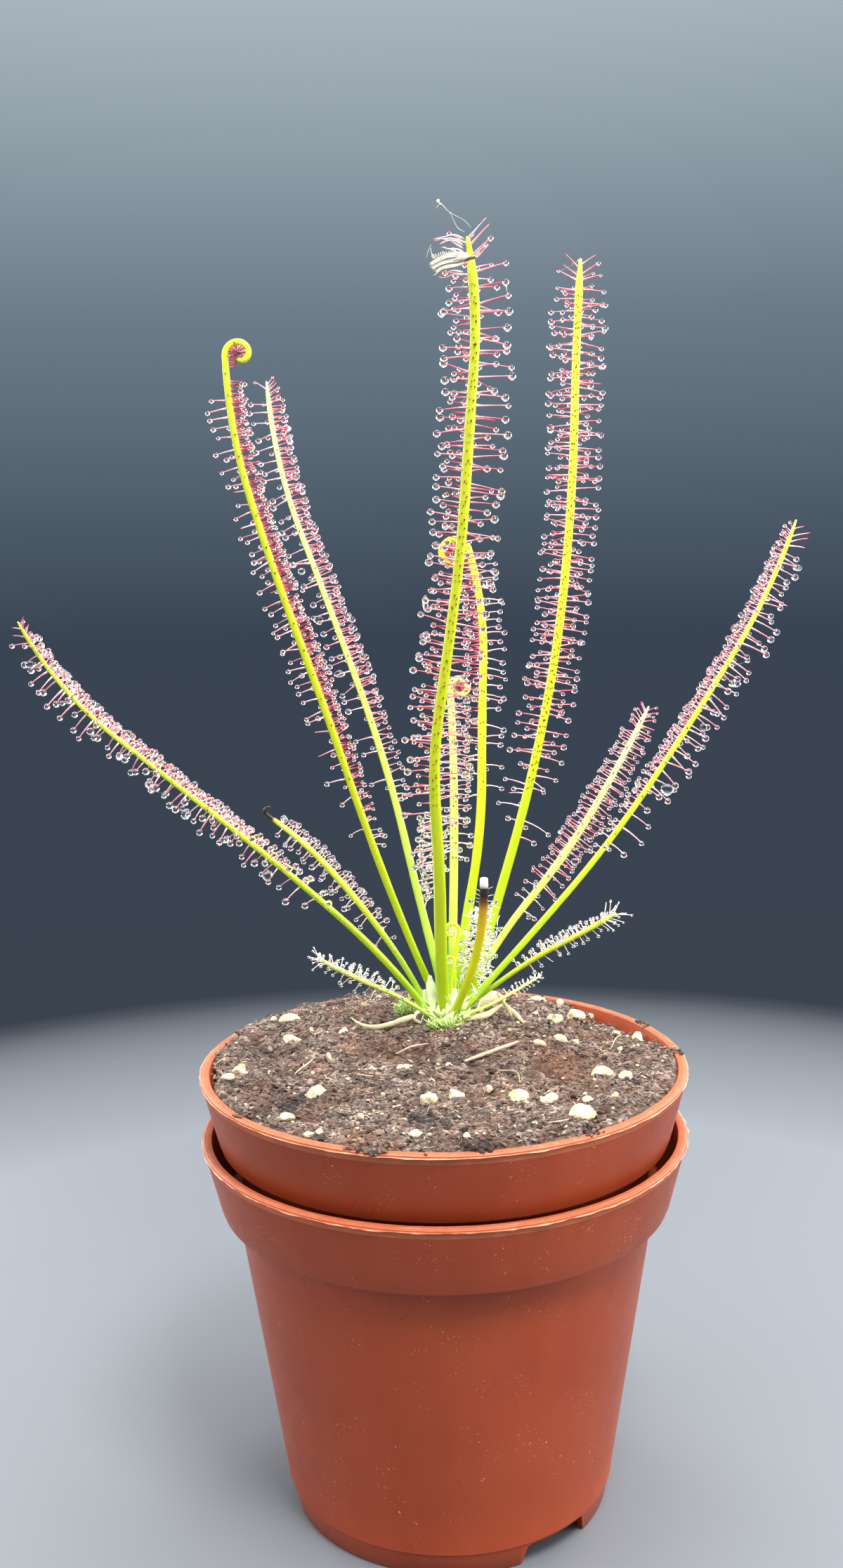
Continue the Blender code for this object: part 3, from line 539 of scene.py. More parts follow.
def plastic():
    """Terracotta-coloured polypropylene, satin, dusty and a little scuffed."""
    made = Finish("terracotta_plastic", 0.42, Subsurface_Weight=0.05, Subsurface_Scale=0.001,
                  Subsurface_Radius=(1.0, 0.3, 0.15), Specular_IOR_Level=0.3)
    broad = made.noise(26.0, 2.0)
    body = made.ramp(broad, (0.3, (0.3, 0.044, 0.013)), (0.7, (0.36, 0.058, 0.018)))
    flow = made.noise(1.0, 2.0, vector=made.stretched((0.25, 0.25, 0.03)))
    body = made.mix(made.ramp(flow, (0.35, 0.0), (0.75, 0.2)), body, (0.4, 0.08, 0.028))
    dust = made.sum("MULTIPLY", made.ramp(made.noise(0.4, 1.0), (0.68, 0.0), (0.74, 1.0)),
                    made.ramp(made.noise(7.0, 2.0), (0.54, 0.0), (0.66, 1.0)))
    body = made.mix(made.sum("MULTIPLY", dust, 0.65), body, (0.8, 0.52, 0.36))
    dirt = made.sum("MULTIPLY", made.ramp(made.noise(0.6, 2.0), (0.69, 0.0), (0.75, 1.0)),
                    made.ramp(made.noise(14.0, 2.0), (0.52, 0.0), (0.62, 1.0)))
    body = made.mix(made.sum("MULTIPLY", dirt, 0.8), body, (0.09, 0.03, 0.02))
    made.colour(body)
    made.roughness(made.noise(4.0, 4.0), 0.34, 0.52)
    grain = made.sum("ADD", made.noise(0.5, 3.0), made.sum("MULTIPLY", made.noise(5.0, 2.0), 1.5))
    made.bump(grain, 0.02, 0.5)
    return made.material


def lip_plastic_with_painted_light():
    """The trimmed top of a pot's lip: the plastic painted lighter than the wall as painted top light, thin pale
    lines of painted highlight along its inner edge, its groove and its flash, and smudges of dry peat.
    """
    made = Finish("lip_plastic_with_painted_light", 0.45, Subsurface_Weight=0.1, Subsurface_Scale=0.001,
                  Subsurface_Radius=(1.0, 0.35, 0.15))
    flat = made.value("ShaderNodeVectorMath", {0: made.place, 1: (1.0, 1.0, 0.0)},
                      operation="MULTIPLY")
    apart = made.value("ShaderNodeVectorMath", {0: flat}, "Value", operation="LENGTH")
    wander = made.sum("MULTIPLY", made.sum("SUBTRACT", made.noise(1.6, 3.0), 0.5), 0.5 * MM)
    across = made.value("ShaderNodeMapRange", {"Value": made.sum("ADD", apart, wander),
                                               "From Min": 43.2 * MM, "From Max": 45.3 * MM})
    # Painted top light: the lip's plastic is coloured lighter than the same plastic on the wall.
    body = made.ramp(made.noise(3.0, 4.0), (0.3, (0.42, 0.09, 0.032)), (0.7, (0.52, 0.13, 0.05)))
    # Painted highlights: pale lines along the lip's inner edge, its groove and its outer edge with the flash.
    line = made.ramp(across, (0.0, 0.25), (0.08, 0.0), (0.5, 0.0), (0.54, 0.7), (0.58, 0.0),
                     (0.86, 0.0), (0.93, 0.85), (1.0, 1.0))
    body = made.mix(made.sum("MULTIPLY", line, 0.85), body, (0.76, 0.44, 0.28))
    smudge = made.sum("MULTIPLY", made.ramp(made.noise(0.8, 3.0), (0.58, 0.0), (0.68, 1.0)),
                      made.ramp(made.noise(8.0, 2.0), (0.48, 0.0), (0.6, 1.0)))
    body = made.mix(made.sum("MULTIPLY", smudge, 0.7), body, (0.26, 0.13, 0.07))
    made.colour(body)
    made.roughness(made.noise(1.2, 3.0), 0.38, 0.6)
    made.bump(made.noise(0.6, 3.0), 0.05, 0.5)
    return made.material


def peat(name, fine):
    """Damp peat: the tone runs from black over brown to grey tan, and "along" adds red."""
    made = Finish(name, 0.7, Specular_IOR_Level=0.45)
    tone = made.attribute("tone")
    fibre = None
    for turn in (0.25, 1.25, 2.3):
        laid = made.value("ShaderNodeMapping", {"Vector": made.place, "Rotation": (0.0, 0.0, turn),
                                                "Scale": (0.22, 1.0, 0.6)})
        strands = made.noise(0.42, 3.0, 0.6, laid)
        fibre = strands if fibre is None else made.sum("MAXIMUM", fibre, strands)
    if fine:
        speckle = made.sum("MULTIPLY", made.sum("SUBTRACT", fibre, 0.56), 2.6)
        grains = made.sum("MULTIPLY", made.sum("SUBTRACT", made.noise(0.5, 3.0, 0.6), 0.5), 1.1)
        tone = made.sum("ADD", tone, made.sum("ADD", speckle, grains))
    else:
        tone = made.sum("ADD", tone, made.sum("MULTIPLY", made.sum("SUBTRACT", fibre, 0.56), 1.0))
    body = made.ramp(tone, (0.0, (0.006, 0.005, 0.005)), (0.25, (0.034, 0.023, 0.019)),
                     (0.5, (0.13, 0.088, 0.07)), (0.75, (0.31, 0.225, 0.175)),
                     (1.0, (0.62, 0.5, 0.38)))
    red = made.mix(0.75, body, (0.4, 0.16, 0.07), blend="MULTIPLY")
    red = made.mix(0.45, red, (0.2, 0.08, 0.035))
    made.colour(made.mix(made.attribute("along"), body, red))
    made.roughness(made.noise(2.0, 3.0), 0.42, 0.85)
    made.bump(made.sum("ADD", fibre, made.noise(0.3, 4.0, 0.7)), 0.3, 0.9)
    return made.material


def leaf_skin(name, base, middle, tip):
    """Fresh leaf, lighter towards its tip. The tone dries it to gold, brown and black."""
    made = Finish(name, 0.38, Subsurface_Weight=0.35, Subsurface_Scale=0.0012,
                  Subsurface_Radius=(0.8, 1.0, 0.25), Specular_IOR_Level=0.5)
    along = made.sum("ADD", made.attribute("along"),
                     made.sum("MULTIPLY", made.sum("SUBTRACT", made.noise(9.0, 2.0), 0.5), 0.25))
    body = made.ramp(along, (0.02, base), (0.4, middle), (0.9, tip))
    streak = made.noise(1.0, 3.0, vector=made.stretched((2.2, 2.2, 0.12)))
    body = made.mix(made.ramp(streak, (0.35, 0.0), (0.75, 0.22)), body,
                    tuple(0.6 * c for c in middle))
    dry = made.ramp(made.attribute("tone"), (0.0, middle), (0.4, (0.7, 0.52, 0.015)),
                    (0.62, (0.6, 0.34, 0.02)), (0.72, (0.16, 0.07, 0.02)),
                    (0.8, (0.02, 0.014, 0.011)), (0.89, (0.03, 0.02, 0.015)),
                    (0.92, (0.75, 0.73, 0.66)))
    made.colour(made.mix(made.ramp(made.attribute("tone"), (0.0, 0.0), (0.2, 1.0)), body, dry))
    made.roughness(made.noise(1.5, 3.0), 0.3, 0.48)
    made.bump(made.sum("ADD", streak, made.noise(0.25, 2.0)), 0.03, 0.6)
    return made.material


def tentacle_skin():
    """Stalks and glands: the tone runs from cream over rose and crimson to a dark gland."""
    made = Finish("tentacle_skin", 0.35, Subsurface_Weight=0.3, Subsurface_Scale=0.0004,
                  Subsurface_Radius=(1.0, 0.4, 0.35))
    tone = made.sum("ADD", made.attribute("tone"),
                    made.sum("MULTIPLY", made.sum("SUBTRACT", made.noise(0.8, 2.0), 0.5), 0.12))
    made.colour(made.ramp(tone, (0.0, (0.84, 0.86, 0.72)), (0.3, (0.88, 0.68, 0.66)),
                          (0.55, (0.84, 0.34, 0.38)), (0.78, (0.62, 0.06, 0.1)),
                          (0.95, (0.1, 0.006, 0.012))))
    made.bump(made.noise(0.2, 2.0), 0.02, 0.5)
    return made.material


def dew():
    """Clear, sticky mucilage."""
    made = Finish("mucilage", 0.0, Transmission_Weight=1.0, IOR=1.38, Specular_IOR_Level=0.6)
    made.colour(made.ramp(made.noise(1.5, 1.0), (0.3, (0.97, 0.975, 0.97)), (0.7, (1.0, 1.0, 1.0))))
    made.bump(made.noise(0.7, 1.0), 0.01, 0.3)
    return made.material


def pumice():
    """Cream pumice, pitted and stained, with painted shade in its pits."""
    made = Finish("pumice_stone", 0.85, Specular_IOR_Level=0.3)
    body = made.ramp(made.noise(1.1, 4.0, 0.6), (0.3, (0.5, 0.36, 0.18)), (0.5, (0.72, 0.6, 0.38)),
                     (0.7, (0.84, 0.77, 0.58)))
    pits = made.ramp(made.cells(0.5), (0.1, 0.0), (0.24, 1.0))
    # Painted shade: the pits are coloured darker where they sink lowest.
    body = made.mix(made.ramp(pits, (0.0, 0.65), (1.0, 0.0)), body, (0.22, 0.15, 0.08))
    stain = made.ramp(made.noise(1.8, 4.0), (0.53, 0.0), (0.66, 0.8))
    made.colour(made.mix(stain, body, (0.36, 0.21, 0.08)))
    made.bump(made.sum("ADD", pits, made.noise(0.3, 3.0)), 0.12, 0.8)
    return made.material


def dry_fibre(name, dark, light, gloss=0.8):
    """Dry plant matter with fine fibres."""
    made = Finish(name, gloss, Subsurface_Weight=0.15, Subsurface_Scale=0.0004)
    fibre = made.noise(0.8, 4.0, vector=made.stretched((1.0, 1.0, 1.0)))
    mottle = made.sum("ADD", made.sum("MULTIPLY", fibre, 0.6), made.sum("MULTIPLY", made.attribute("tone"), 0.5))
    made.colour(made.ramp(mottle, (0.15, dark), (0.75, light)))
    made.roughness(made.noise(0.9, 2.0), gloss - 0.15, min(gloss + 0.1, 1.0))
    made.bump(made.noise(0.25, 3.0), 0.06, 0.7)
    return made.material


def piece(name, mesh, material, slot, *replaced):
    """Links a piece to the body and hides the CAD nodes that it stands for; its slot is not used."""
    obj = bpy.data.objects.new(name, mesh)
    bpy.context.scene.collection.objects.link(obj)
    for each in [material] if isinstance(material, bpy.types.Material) else material:
        mesh.materials.append(each)
    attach(obj, BODY)
    if replaced:
        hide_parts(*replaced)
    return obj


def body_radius(z):
    """Outer radius of a pot's body at a height over its own foot."""
    return FOOT_LINE_RADIUS + (z - FOOT_HEIGHT) * BODY_SLOPE


def collar_radius(z):
    """Outer radius of a pot's collar at a height over its own foot."""
    return COLLAR_FOOT_RADIUS + (z - COLLAR_FOOT_HEIGHT) * COLLAR_SLOPE


def arc(centre, radius, start, end, steps=4):
    """Points of a rounded corner in the half section."""
    angles = np.radians(np.linspace(start, end, steps))
    return [(centre[0] + radius * math.cos(a), centre[1] + radius * math.sin(a)) for a in angles]


def pot_profile():
    """Half section of the pot with its grooved lip, and the places of its lip and flash."""
    floor_top = FLOOR_UNDERSIDE + WALL
    shoulder = COLLAR_FOOT_HEIGHT + WALL
    inside = RIM_RADIUS - LIP_WIDTH
    inner_foot = body_radius(floor_top) - WALL
    points = [(0.0, floor_top), (inner_foot * 0.5, floor_top)]
    points += arc((inner_foot - 1.0, floor_top + 1.0), 1.0, -90, 0)
    points += [(body_radius(z) - WALL, z) for z in (20.0, 36.0, 50.0)]
    points += arc((body_radius(shoulder) - WALL + 0.5, shoulder - 0.5), 0.5, 180, 90)
    points += arc((collar_radius(shoulder) - WALL - 0.5, shoulder + 0.5), 0.5, -90, 0)
    points += [(collar_radius(z) - WALL, z) for z in (64.0, 68.0)]
    points += [(inside, RIM_HEIGHT - 0.25), (inside + 0.1, RIM_HEIGHT - 0.06),
               (inside + 0.25, RIM_HEIGHT)]
    lip_start = len(points) - 3
    points += [(inside + 0.95, RIM_HEIGHT), (inside + 1.02, RIM_HEIGHT - 0.12),
               (inside + 1.1, RIM_HEIGHT - 0.12), (inside + 1.17, RIM_HEIGHT - 0.04),
               (RIM_RADIUS - 0.3, RIM_HEIGHT - 0.06), (RIM_RADIUS - 0.1, RIM_HEIGHT - 0.2),
               (RIM_RADIUS - 0.1, RIM_HEIGHT - 0.42)]
    flash = len(points)
    points += [(RIM_RADIUS + 0.12, RIM_HEIGHT - 0.5), (RIM_RADIUS + 0.1, RIM_HEIGHT - 0.6)]
    points += [(collar_radius(RIM_HEIGHT - 0.75) - 0.1, RIM_HEIGHT - 0.75)]
    lip_end = len(points)
    points += [(collar_radius(z), z) for z in (70.0, 67.0, 63.0, 60.0)]
    points += arc((collar_radius(COLLAR_FOOT_HEIGHT + 0.5) - 0.55, COLLAR_FOOT_HEIGHT + 0.4), 0.4,
                  0, -90)
    points += [(BODY_TOP_RADIUS + 0.35, COLLAR_FOOT_HEIGHT)]
    points += arc((BODY_TOP_RADIUS + 0.3, COLLAR_FOOT_HEIGHT - 0.35), 0.35, 90, 180)
    points += [(body_radius(z), z) for z in (50.0, 38.0, 26.0, 14.0, FOOT_HEIGHT + 0.3)]
    points += [(FOOT_LINE_RADIUS + 0.08, FOOT_HEIGHT), (FOOT_LINE_RADIUS - FOOT_STEP, FOOT_HEIGHT - 0.2)]
    points += [(FOOT_RADIUS, 0.3), (FOOT_RADIUS - 0.3, 0.0), (FOOT_RADIUS - WALL, 0.0),
               (FOOT_RADIUS - WALL, FLOOR_UNDERSIDE), (FOOT_RADIUS * 0.5, FLOOR_UNDERSIDE),
               (0.0, FLOOR_UNDERSIDE)]
    return points, lip_start, flash, lip_end


def pot_cutters(height):
    """One mesh of the notches and drain holes that are cut from a pot."""
    bm = bmesh.new()
    half, corner = NOTCH_WIDTH / 2, 1.2
    right = arc((half - corner, NOTCH_HEIGHT - corner), corner, 90, 0, 6) + [(half + NOTCH_FLARE, -1.0)]
    outline = right + [(-x, z) for x, z in reversed(right)]
    for i in range(NOTCHES):
        turn = Matrix.Rotation(math.radians(NOTCH_AZIMUTH + i * 360 / NOTCHES - 90), 3, "Z")
        near, far = ([bm.verts.new(turn @ Vector((x, y, z + height)) * MM) for x, z in outline]
                     for y in (25.0, 34.0))
        bm.faces.new(near)
        bm.faces.new(far[::-1])
        for j in range(len(outline)):
            k = (j + 1) % len(outline)
            bm.faces.new((near[k], near[j], far[j], far[k]))
    for i in range(DRAIN_HOLES):
        a = TAU * i / DRAIN_HOLES
        place = Vector((DRAIN_CIRCLE_RADIUS * math.cos(a), DRAIN_CIRCLE_RADIUS * math.sin(a),
                        FLOOR_UNDERSIDE + WALL / 2 + height)) * MM
        bmesh.ops.create_cone(bm, cap_ends=True, segments=32, radius1=DRAIN_HOLE_RADIUS * MM,
                              radius2=DRAIN_HOLE_RADIUS * MM, depth=6 * MM,
                              matrix=Matrix.Translation(place))
    bmesh.ops.recalc_face_normals(bm, faces=bm.faces)
    mesh = bpy.data.meshes.new("cutters")
    bm.to_mesh(mesh)
    bm.free()
    return bpy.data.objects.new("cutters", mesh)


def make_pot(name, node, turn, seed, materials):
    """One pot: turned, with a ragged flash under its lip, and cut by its notches and holes."""
    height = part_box(node)[0].z / MM
    profile, lip_start, flash, lip_end = pot_profile()

    def waver(radii, heights, angles):
        """Lets the flash and the lip's outer edge run unevenly round the pot."""
        around = np.stack([RIM_RADIUS * np.cos(angles), RIM_RADIUS * np.sin(angles),
                           np.full_like(angles, 3.0 * seed)], -1)
        ragged = (0.16 * lumps(around, 1.7, seed) + 0.1 * lumps(around, 0.8, seed + 1)
                  + 0.12 * np.clip(lumps(around, 9.0, seed + 2), 0, 1))
        burr = 0.3 * np.clip(lumps(around, 2.6, seed + 3) - 0.62, 0, 1)
        rows = slice(flash - 1, flash + 1)
        radii[rows] += ragged + burr
        heights[rows] -= 0.12 * lumps(around, 2.2, seed + 4) + burr
        top = slice(lip_start - 1, flash - 1)
        heights[top] += 0.05 * lumps(around, 14.0, seed + 5) + 0.03 * lumps(around, 1.5, seed + 6)
        return radii, heights

    shape = Shape()
    turned(shape, profile, POT_STEPS, waver)
    mesh = shape.mesh(name)
    mesh.transform(Matrix.Rotation(math.radians(turn), 4, "Z"))
    mesh.transform(Matrix.Translation((0, 0, height * MM)))
    rough = bpy.data.objects.new("rough_pot", mesh)
    cutter = pot_cutters(height)
    cutter.data.transform(Matrix.Rotation(math.radians(turn), 4, "Z"))
    for obj in (rough, cutter):
        bpy.context.scene.collection.objects.link(obj)
    modifier = rough.modifiers.new("cut", "BOOLEAN")
    modifier.object = cutter
    bpy.context.view_layer.update()
    done = bpy.data.meshes.new_from_object(rough.evaluated_get(bpy.context.evaluated_depsgraph_get()))
    done.name = name
    for obj in (rough, cutter):
        bpy.data.objects.remove(obj)
    done.shade_smooth()
    done.set_sharp_from_angle(angle=math.radians(38))
    pot = piece(name, done, materials, "pot_plastic", node)
    low, high = ((profile[i][1] + height) * MM for i in (lip_end, lip_start))
    inside = (RIM_RADIUS - LIP_WIDTH - 0.05) * MM
    # The lip's top and flash take the second material, which is painted lighter as painted top light.
    for face in done.polygons:
        centre = face.center
        if centre.z > low - 0.0002 and math.hypot(centre.x, centre.y) > inside:
            face.material_index = 1
    return pot


def soil_height(x, y):
    """Height of the soil's broad surface over the ground."""
    z = np.full(np.shape(x), SOIL_LEVEL)
    for cx, cy, rise, spread in SOIL_SWELLS:
        z = z + rise * np.exp(-((x - cx) ** 2 + (y - cy) ** 2) / (2 * spread ** 2))
    return z


def soil_top(x, y):
    """Height of the crumbly surface, and how deep in a gap each point lies, which paints shade into the gaps and
    light onto the crumbs.
    """
    flat = np.stack([x, y, np.zeros_like(x)], -1)
    clods = 0.75 * lumps(flat, 5.5, 1) + 0.4 * lumps(flat, 2.6, 2)
    wander = np.stack([x + 0.8 * lumps(flat, 2.0, 3), y + 0.8 * lumps(flat, 2.0, 4)])
    coarse = crumbs(*wander, 2.3, 5) ** 0.7
    fine = crumbs(*(wander * 1.1), 0.95, 9)
    holes = np.clip(lumps(flat, 1.9, 7) - 0.45, 0, 1)
    relief = 0.9 * clods + 1.0 * (coarse - 0.75) + 0.4 * (fine - 0.6) + 0.14 * lumps(flat, 0.55, 6)
    relief = relief - 1.6 * holes
    from_crown = np.hypot(x - CROWN_CENTRE[0], y - CROWN_CENTRE[1])
    relief = relief * (0.45 + 0.55 * np.clip((from_crown - 5) / 6, 0, 1))
    relief = relief + 1.2 * np.exp(-((x - 1.0) ** 2 / 40 + (y - 3.4) ** 2 / 11))
    return soil_height(x, y) + relief + 0.05, 0.6 * coarse + 0.4 * fine - 1.2 * holes


def soil_edge_radius(angles):
    """Where the soil ends at the inner pot's wall, with a gap at the left."""
    left = np.exp(-((np.degrees(angles) % 360 - 187) / 7.0) ** 2)
    return RIM_RADIUS - LIP_WIDTH - 0.12 - 1.3 * left


# Patches of black and of reddish peat: centre x and y, spread, and change of tone or of redness
DARK_PATCHES = ((-26.4, -21.7, 4.0, -0.3), (5.8, -40.5, 1.6, -0.4), (-9.0, -1.0, 3.0, -0.18),
                (28.0, -28.0, 3.0, -0.2), (14.0, -33.0, 3.0, -0.12), (-31.0, 2.0, 2.5, -0.2),
                (2.0, -3.0, 4.0, -0.12), (22.0, 14.0, 4.0, -0.12), (-2.0, -31.0, 2.4, -0.2))
RED_PATCHES = ((20.5, -3.9, 4.5, 0.9), (-13.0, 2.0, 3.0, 0.55), (-5.0, -1.0, 3.5, 0.5),
               (31.0, 16.0, 3.0, 0.5), (-14.0, -39.0, 3.0, 0.6), (24.0, -14.0, 3.0, 0.35),
               (8.0, -20.0, 3.0, 0.35), (-12.0, 26.0, 6.0, 0.2))


def patched(x, y, patches):
    """The sum of soft patches at points."""
    return sum(change * np.exp(-((x - cx) ** 2 + (y - cy) ** 2) / (2 * spread ** 2))
               for cx, cy, spread, change in patches)


def make_soil(material):
    """The soil's plug, with a crumbly top that meets the inner pot's wall."""
    cells = SOIL_CELLS
    u, v = np.meshgrid(np.linspace(-1, 1, cells + 1), np.linspace(-1, 1, cells + 1), indexing="xy")
    wide = np.abs(u) >= np.abs(v)
    radius = np.where(wide, np.abs(u), np.abs(v))
    larger = np.where(wide, u, v)
    safe = np.where(larger == 0, 1, larger)
    turn = np.where(wide, math.pi / 4 * v / safe, math.pi / 2 - math.pi / 4 * u / safe)
    turn = turn + np.where(larger < 0, math.pi, 0.0)
    reach = radius * soil_edge_radius(turn)
    x, y = reach * np.cos(turn), reach * np.sin(turn)
    z, painted_light_and_shade = soil_top(x, y)
    flat = np.stack([x, y, np.zeros_like(x)], -1)
    edge = np.clip((radius - 0.965) / 0.035, 0, 1)
    z = z - edge ** 1.5 * (0.8 + 0.6 * lumps(flat, 3.0, 12))
    # Painted shade and painted light: the tone is darker in the gaps between crumbs and lighter on their tops.
    tone = 0.38 + 0.55 * (painted_light_and_shade - 0.6) + 0.14 * lumps(flat, 3.0, 13) + 0.12 * lumps(flat, 0.9, 14)
    tone = tone + patched(x, y, DARK_PATCHES)
    red = np.clip(0.25 + 0.5 * lumps(flat, 4.5, 15) + patched(x, y, RED_PATCHES), 0, 1)
    index = np.arange((cells + 1) ** 2).reshape(cells + 1, cells + 1)
    quads = np.stack([index[:-1, :-1], index[:-1, 1:], index[1:, 1:], index[1:, :-1]], -1).reshape(-1, 4)
    shape = Shape()
    shape.add(np.stack([x, y, z], -1).reshape(-1, 3), quads=quads, tone=tone.ravel(),
              along=red.ravel())
    rim = np.concatenate([index[0, :-1], index[:-1, -1], index[-1, :0:-1], index[:0:-1, 0]])
    angles = np.arctan2(y.ravel()[rim], x.ravel()[rim])
    floor_top = NEST_PITCH + FLOOR_UNDERSIDE + WALL + 0.15
    shoulder = NEST_PITCH + COLLAR_FOOT_HEIGHT + WALL + 0.15
    rings = [(collar_radius(shoulder - NEST_PITCH) - WALL - 0.2, shoulder),
             (body_radius(shoulder - NEST_PITCH) - WALL - 0.2, shoulder),
             (body_radius(floor_top - NEST_PITCH) - WALL - 1.2, floor_top)]
    above = rim
    for radius_here, height in rings:
        below = np.arange(len(rim))
        start = shape.size
        shape.add(np.stack([radius_here * np.cos(angles), radius_here * np.sin(angles),
                            np.full(len(rim), height)], -1), tone=0.2)
        after = np.roll(below, -1)
        shape.quads.append(np.stack([above, start + below, start + after, np.roll(above, -1)], -1))
        above = start + below
    shape.add([(0.0, 0.0, floor_top)], tone=0.2)
    shape.tris.append(np.stack([np.roll(above, -1), above, np.full(len(rim), shape.size - 1)], -1))
    return piece("peat", shape.mesh("peat"), material, "soil", "soil")


def scatter(count, reach):
    """Random places on the soil within a radius."""
    radius = reach * np.sqrt(rng.uniform(0, 1, count))
    turn = rng.uniform(0, TAU, count)
    return radius * np.cos(turn), radius * np.sin(turn)


def make_fibres(material):
    """Short strands of peat that lie on and stick out of the soil."""
    shape = Shape()
    for count, shortest, longest, thick, curl in ((3000, 0.8, 2.4, 0.1, 0.8), (1500, 1.8, 4.6, 0.085, 1.2),
                                                  (420, 3.5, 8.0, 0.075, 1.5)):
        x, y = scatter(count, RIM_RADIUS - LIP_WIDTH - 0.4)
        keep = np.hypot(x - CROWN_CENTRE[0], y - CROWN_CENTRE[1]) > 5.5
        x, y = x[keep], y[keep]
        n = len(x)
        length = rng.uniform(shortest, longest, n)
        heading = rng.uniform(0, TAU, n)
        bend = rng.normal(0, curl, n)
        steps = np.linspace(-0.5, 0.5, 5)
        turn = heading[:, None] + bend[:, None] * steps
        px = x[:, None] + length[:, None] * steps * np.cos(turn)
        py = y[:, None] + length[:, None] * steps * np.sin(turn)
        reach = np.hypot(px, py)
        limit = np.minimum(1.0, (RIM_RADIUS - LIP_WIDTH - 0.25) / np.maximum(reach, 1e-6))
        px, py = px * limit, py * limit
        lift = rng.uniform(-0.08, 0.3, n)[:, None] + rng.normal(0, 0.22, n)[:, None] * steps
        pz = 0.35 * soil_top(px, py)[0] + 0.65 * soil_top(x, y)[0][:, None] + lift
        radii = thick * rng.uniform(0.5, 1.5, n)[:, None] * np.array([0, 0.7, 1.0, 0.7, 0])
        tone = np.clip(rng.normal(0.62, 0.26, n) + patched(x, y, DARK_PATCHES), 0.05, 1.0)
        red = np.clip(rng.normal(0.3, 0.3, n) + patched(x, y, RED_PATCHES), 0, 1)
        tubes(shape, np.stack([px, py, pz], -1), radii, 3, tone, flat=0.6,
              along=np.repeat(red[:, None], 5, 1))
    return piece("peat_fibres", shape.mesh("peat_fibres"), material, "soil")


def bits(shape, x, y, size, tone, reach, rough, flat=1.0, sink=0.2, sides=4):
    """Adds crumbs or shreds of peat that lie on the soil."""
    count = len(x)
    turn = rng.uniform(0, TAU, count)
    axes = np.stack([np.cos(turn), np.sin(turn), rng.normal(0, 0.55, count)], -1)
    z = soil_top(x, y)[0] + sink * size
    red = np.clip(rng.normal(0.25, 0.3, count) + patched(x, y, RED_PATCHES), 0, 1)
    tone = tone + 0.2 * lumps(np.stack([x, y, 0 * x], -1), 4.0, 17) + patched(x, y, DARK_PATCHES)
    tone = np.clip(tone, 0.02, 1.0)
    balls(shape, np.stack([x, y, z], -1), axes, size, size * reach, 2, sides, tone, rough=rough,
          flat=flat, red=red)


def make_crumbs(material):
    """Shreds and crumbs of peat on the soil, on the lip and in the black clump by the front."""
    shape = Shape()
    x, y = scatter(5200, RIM_RADIUS - LIP_WIDTH - 0.5)
    keep = np.hypot(x - CROWN_CENTRE[0], y - CROWN_CENTRE[1]) > 5.2
    x, y = x[keep], y[keep]
    size = rng.uniform(0.08, 0.26, len(x))
    bits(shape, x, y, size, rng.normal(0.54, 0.27, len(x)), rng.uniform(1.0, 3.2, len(x)), 0.26, 0.8, 0.8)
    x, y = scatter(900, RIM_RADIUS - LIP_WIDTH - 0.6)
    keep = np.hypot(x - CROWN_CENTRE[0], y - CROWN_CENTRE[1]) > 5.5
    x, y = x[keep], y[keep]
    size = 0.22 + 0.5 * rng.uniform(0, 1, len(x)) ** 2.0
    bits(shape, x, y, size, rng.normal(0.46, 0.17, len(x)), rng.uniform(0.9, 1.9, len(x)), 0.3, 0.8,
         0.2, 5)
    clusters = ((-11.3, -42.6, 1.9, 80, 0.62, 0.5), (-15.0, -41.6, 1.6, 20, 0.4, 0.45),
                (5.8, -42.0, 1.5, 80, 0.75, 0.03), (-0.5, -43.0, 2.0, 12, 0.3, 0.45),
                (38.5, 19.0, 2.6, 40, 0.45, 0.42), (42.6, 2.0, 2.6, 36, 0.4, 0.4),
                (24.0, -37.0, 2.4, 26, 0.35, 0.35), (-34.0, -26.5, 2.4, 26, 0.35, 0.4))
    for cx, cy, spread, count, largest, dark in clusters:
        x, y = cx + spread * rng.normal(0, 0.6, count), cy + spread * rng.normal(0, 0.35, count)
        away = np.hypot(x, y)
        scale = np.minimum(1.0, (RIM_RADIUS - 0.4) / away)
        x, y = x * scale, y * scale
        size = largest * rng.uniform(0.3, 0.8, count)
        on_lip = np.hypot(x, y) > RIM_RADIUS - LIP_WIDTH
        z = np.where(on_lip, RIM_TOP + 0.45 * size, soil_top(x, y)[0] + 0.5 * size)
        tone = np.clip(rng.normal(dark, 0.16, count), 0.0, 0.95)
        way = rng.normal(0, 1, (count, 3)) * (1.0, 1.0, 0.4)
        balls(shape, np.stack([x, y, z], -1), way, size, size * rng.uniform(0.9, 2.6, count), 3, 6,
              tone, rough=0.28, red=np.full(count, 0.3))
    return piece("peat_crumbs", shape.mesh("peat_crumbs", smooth=False), material, "soil")


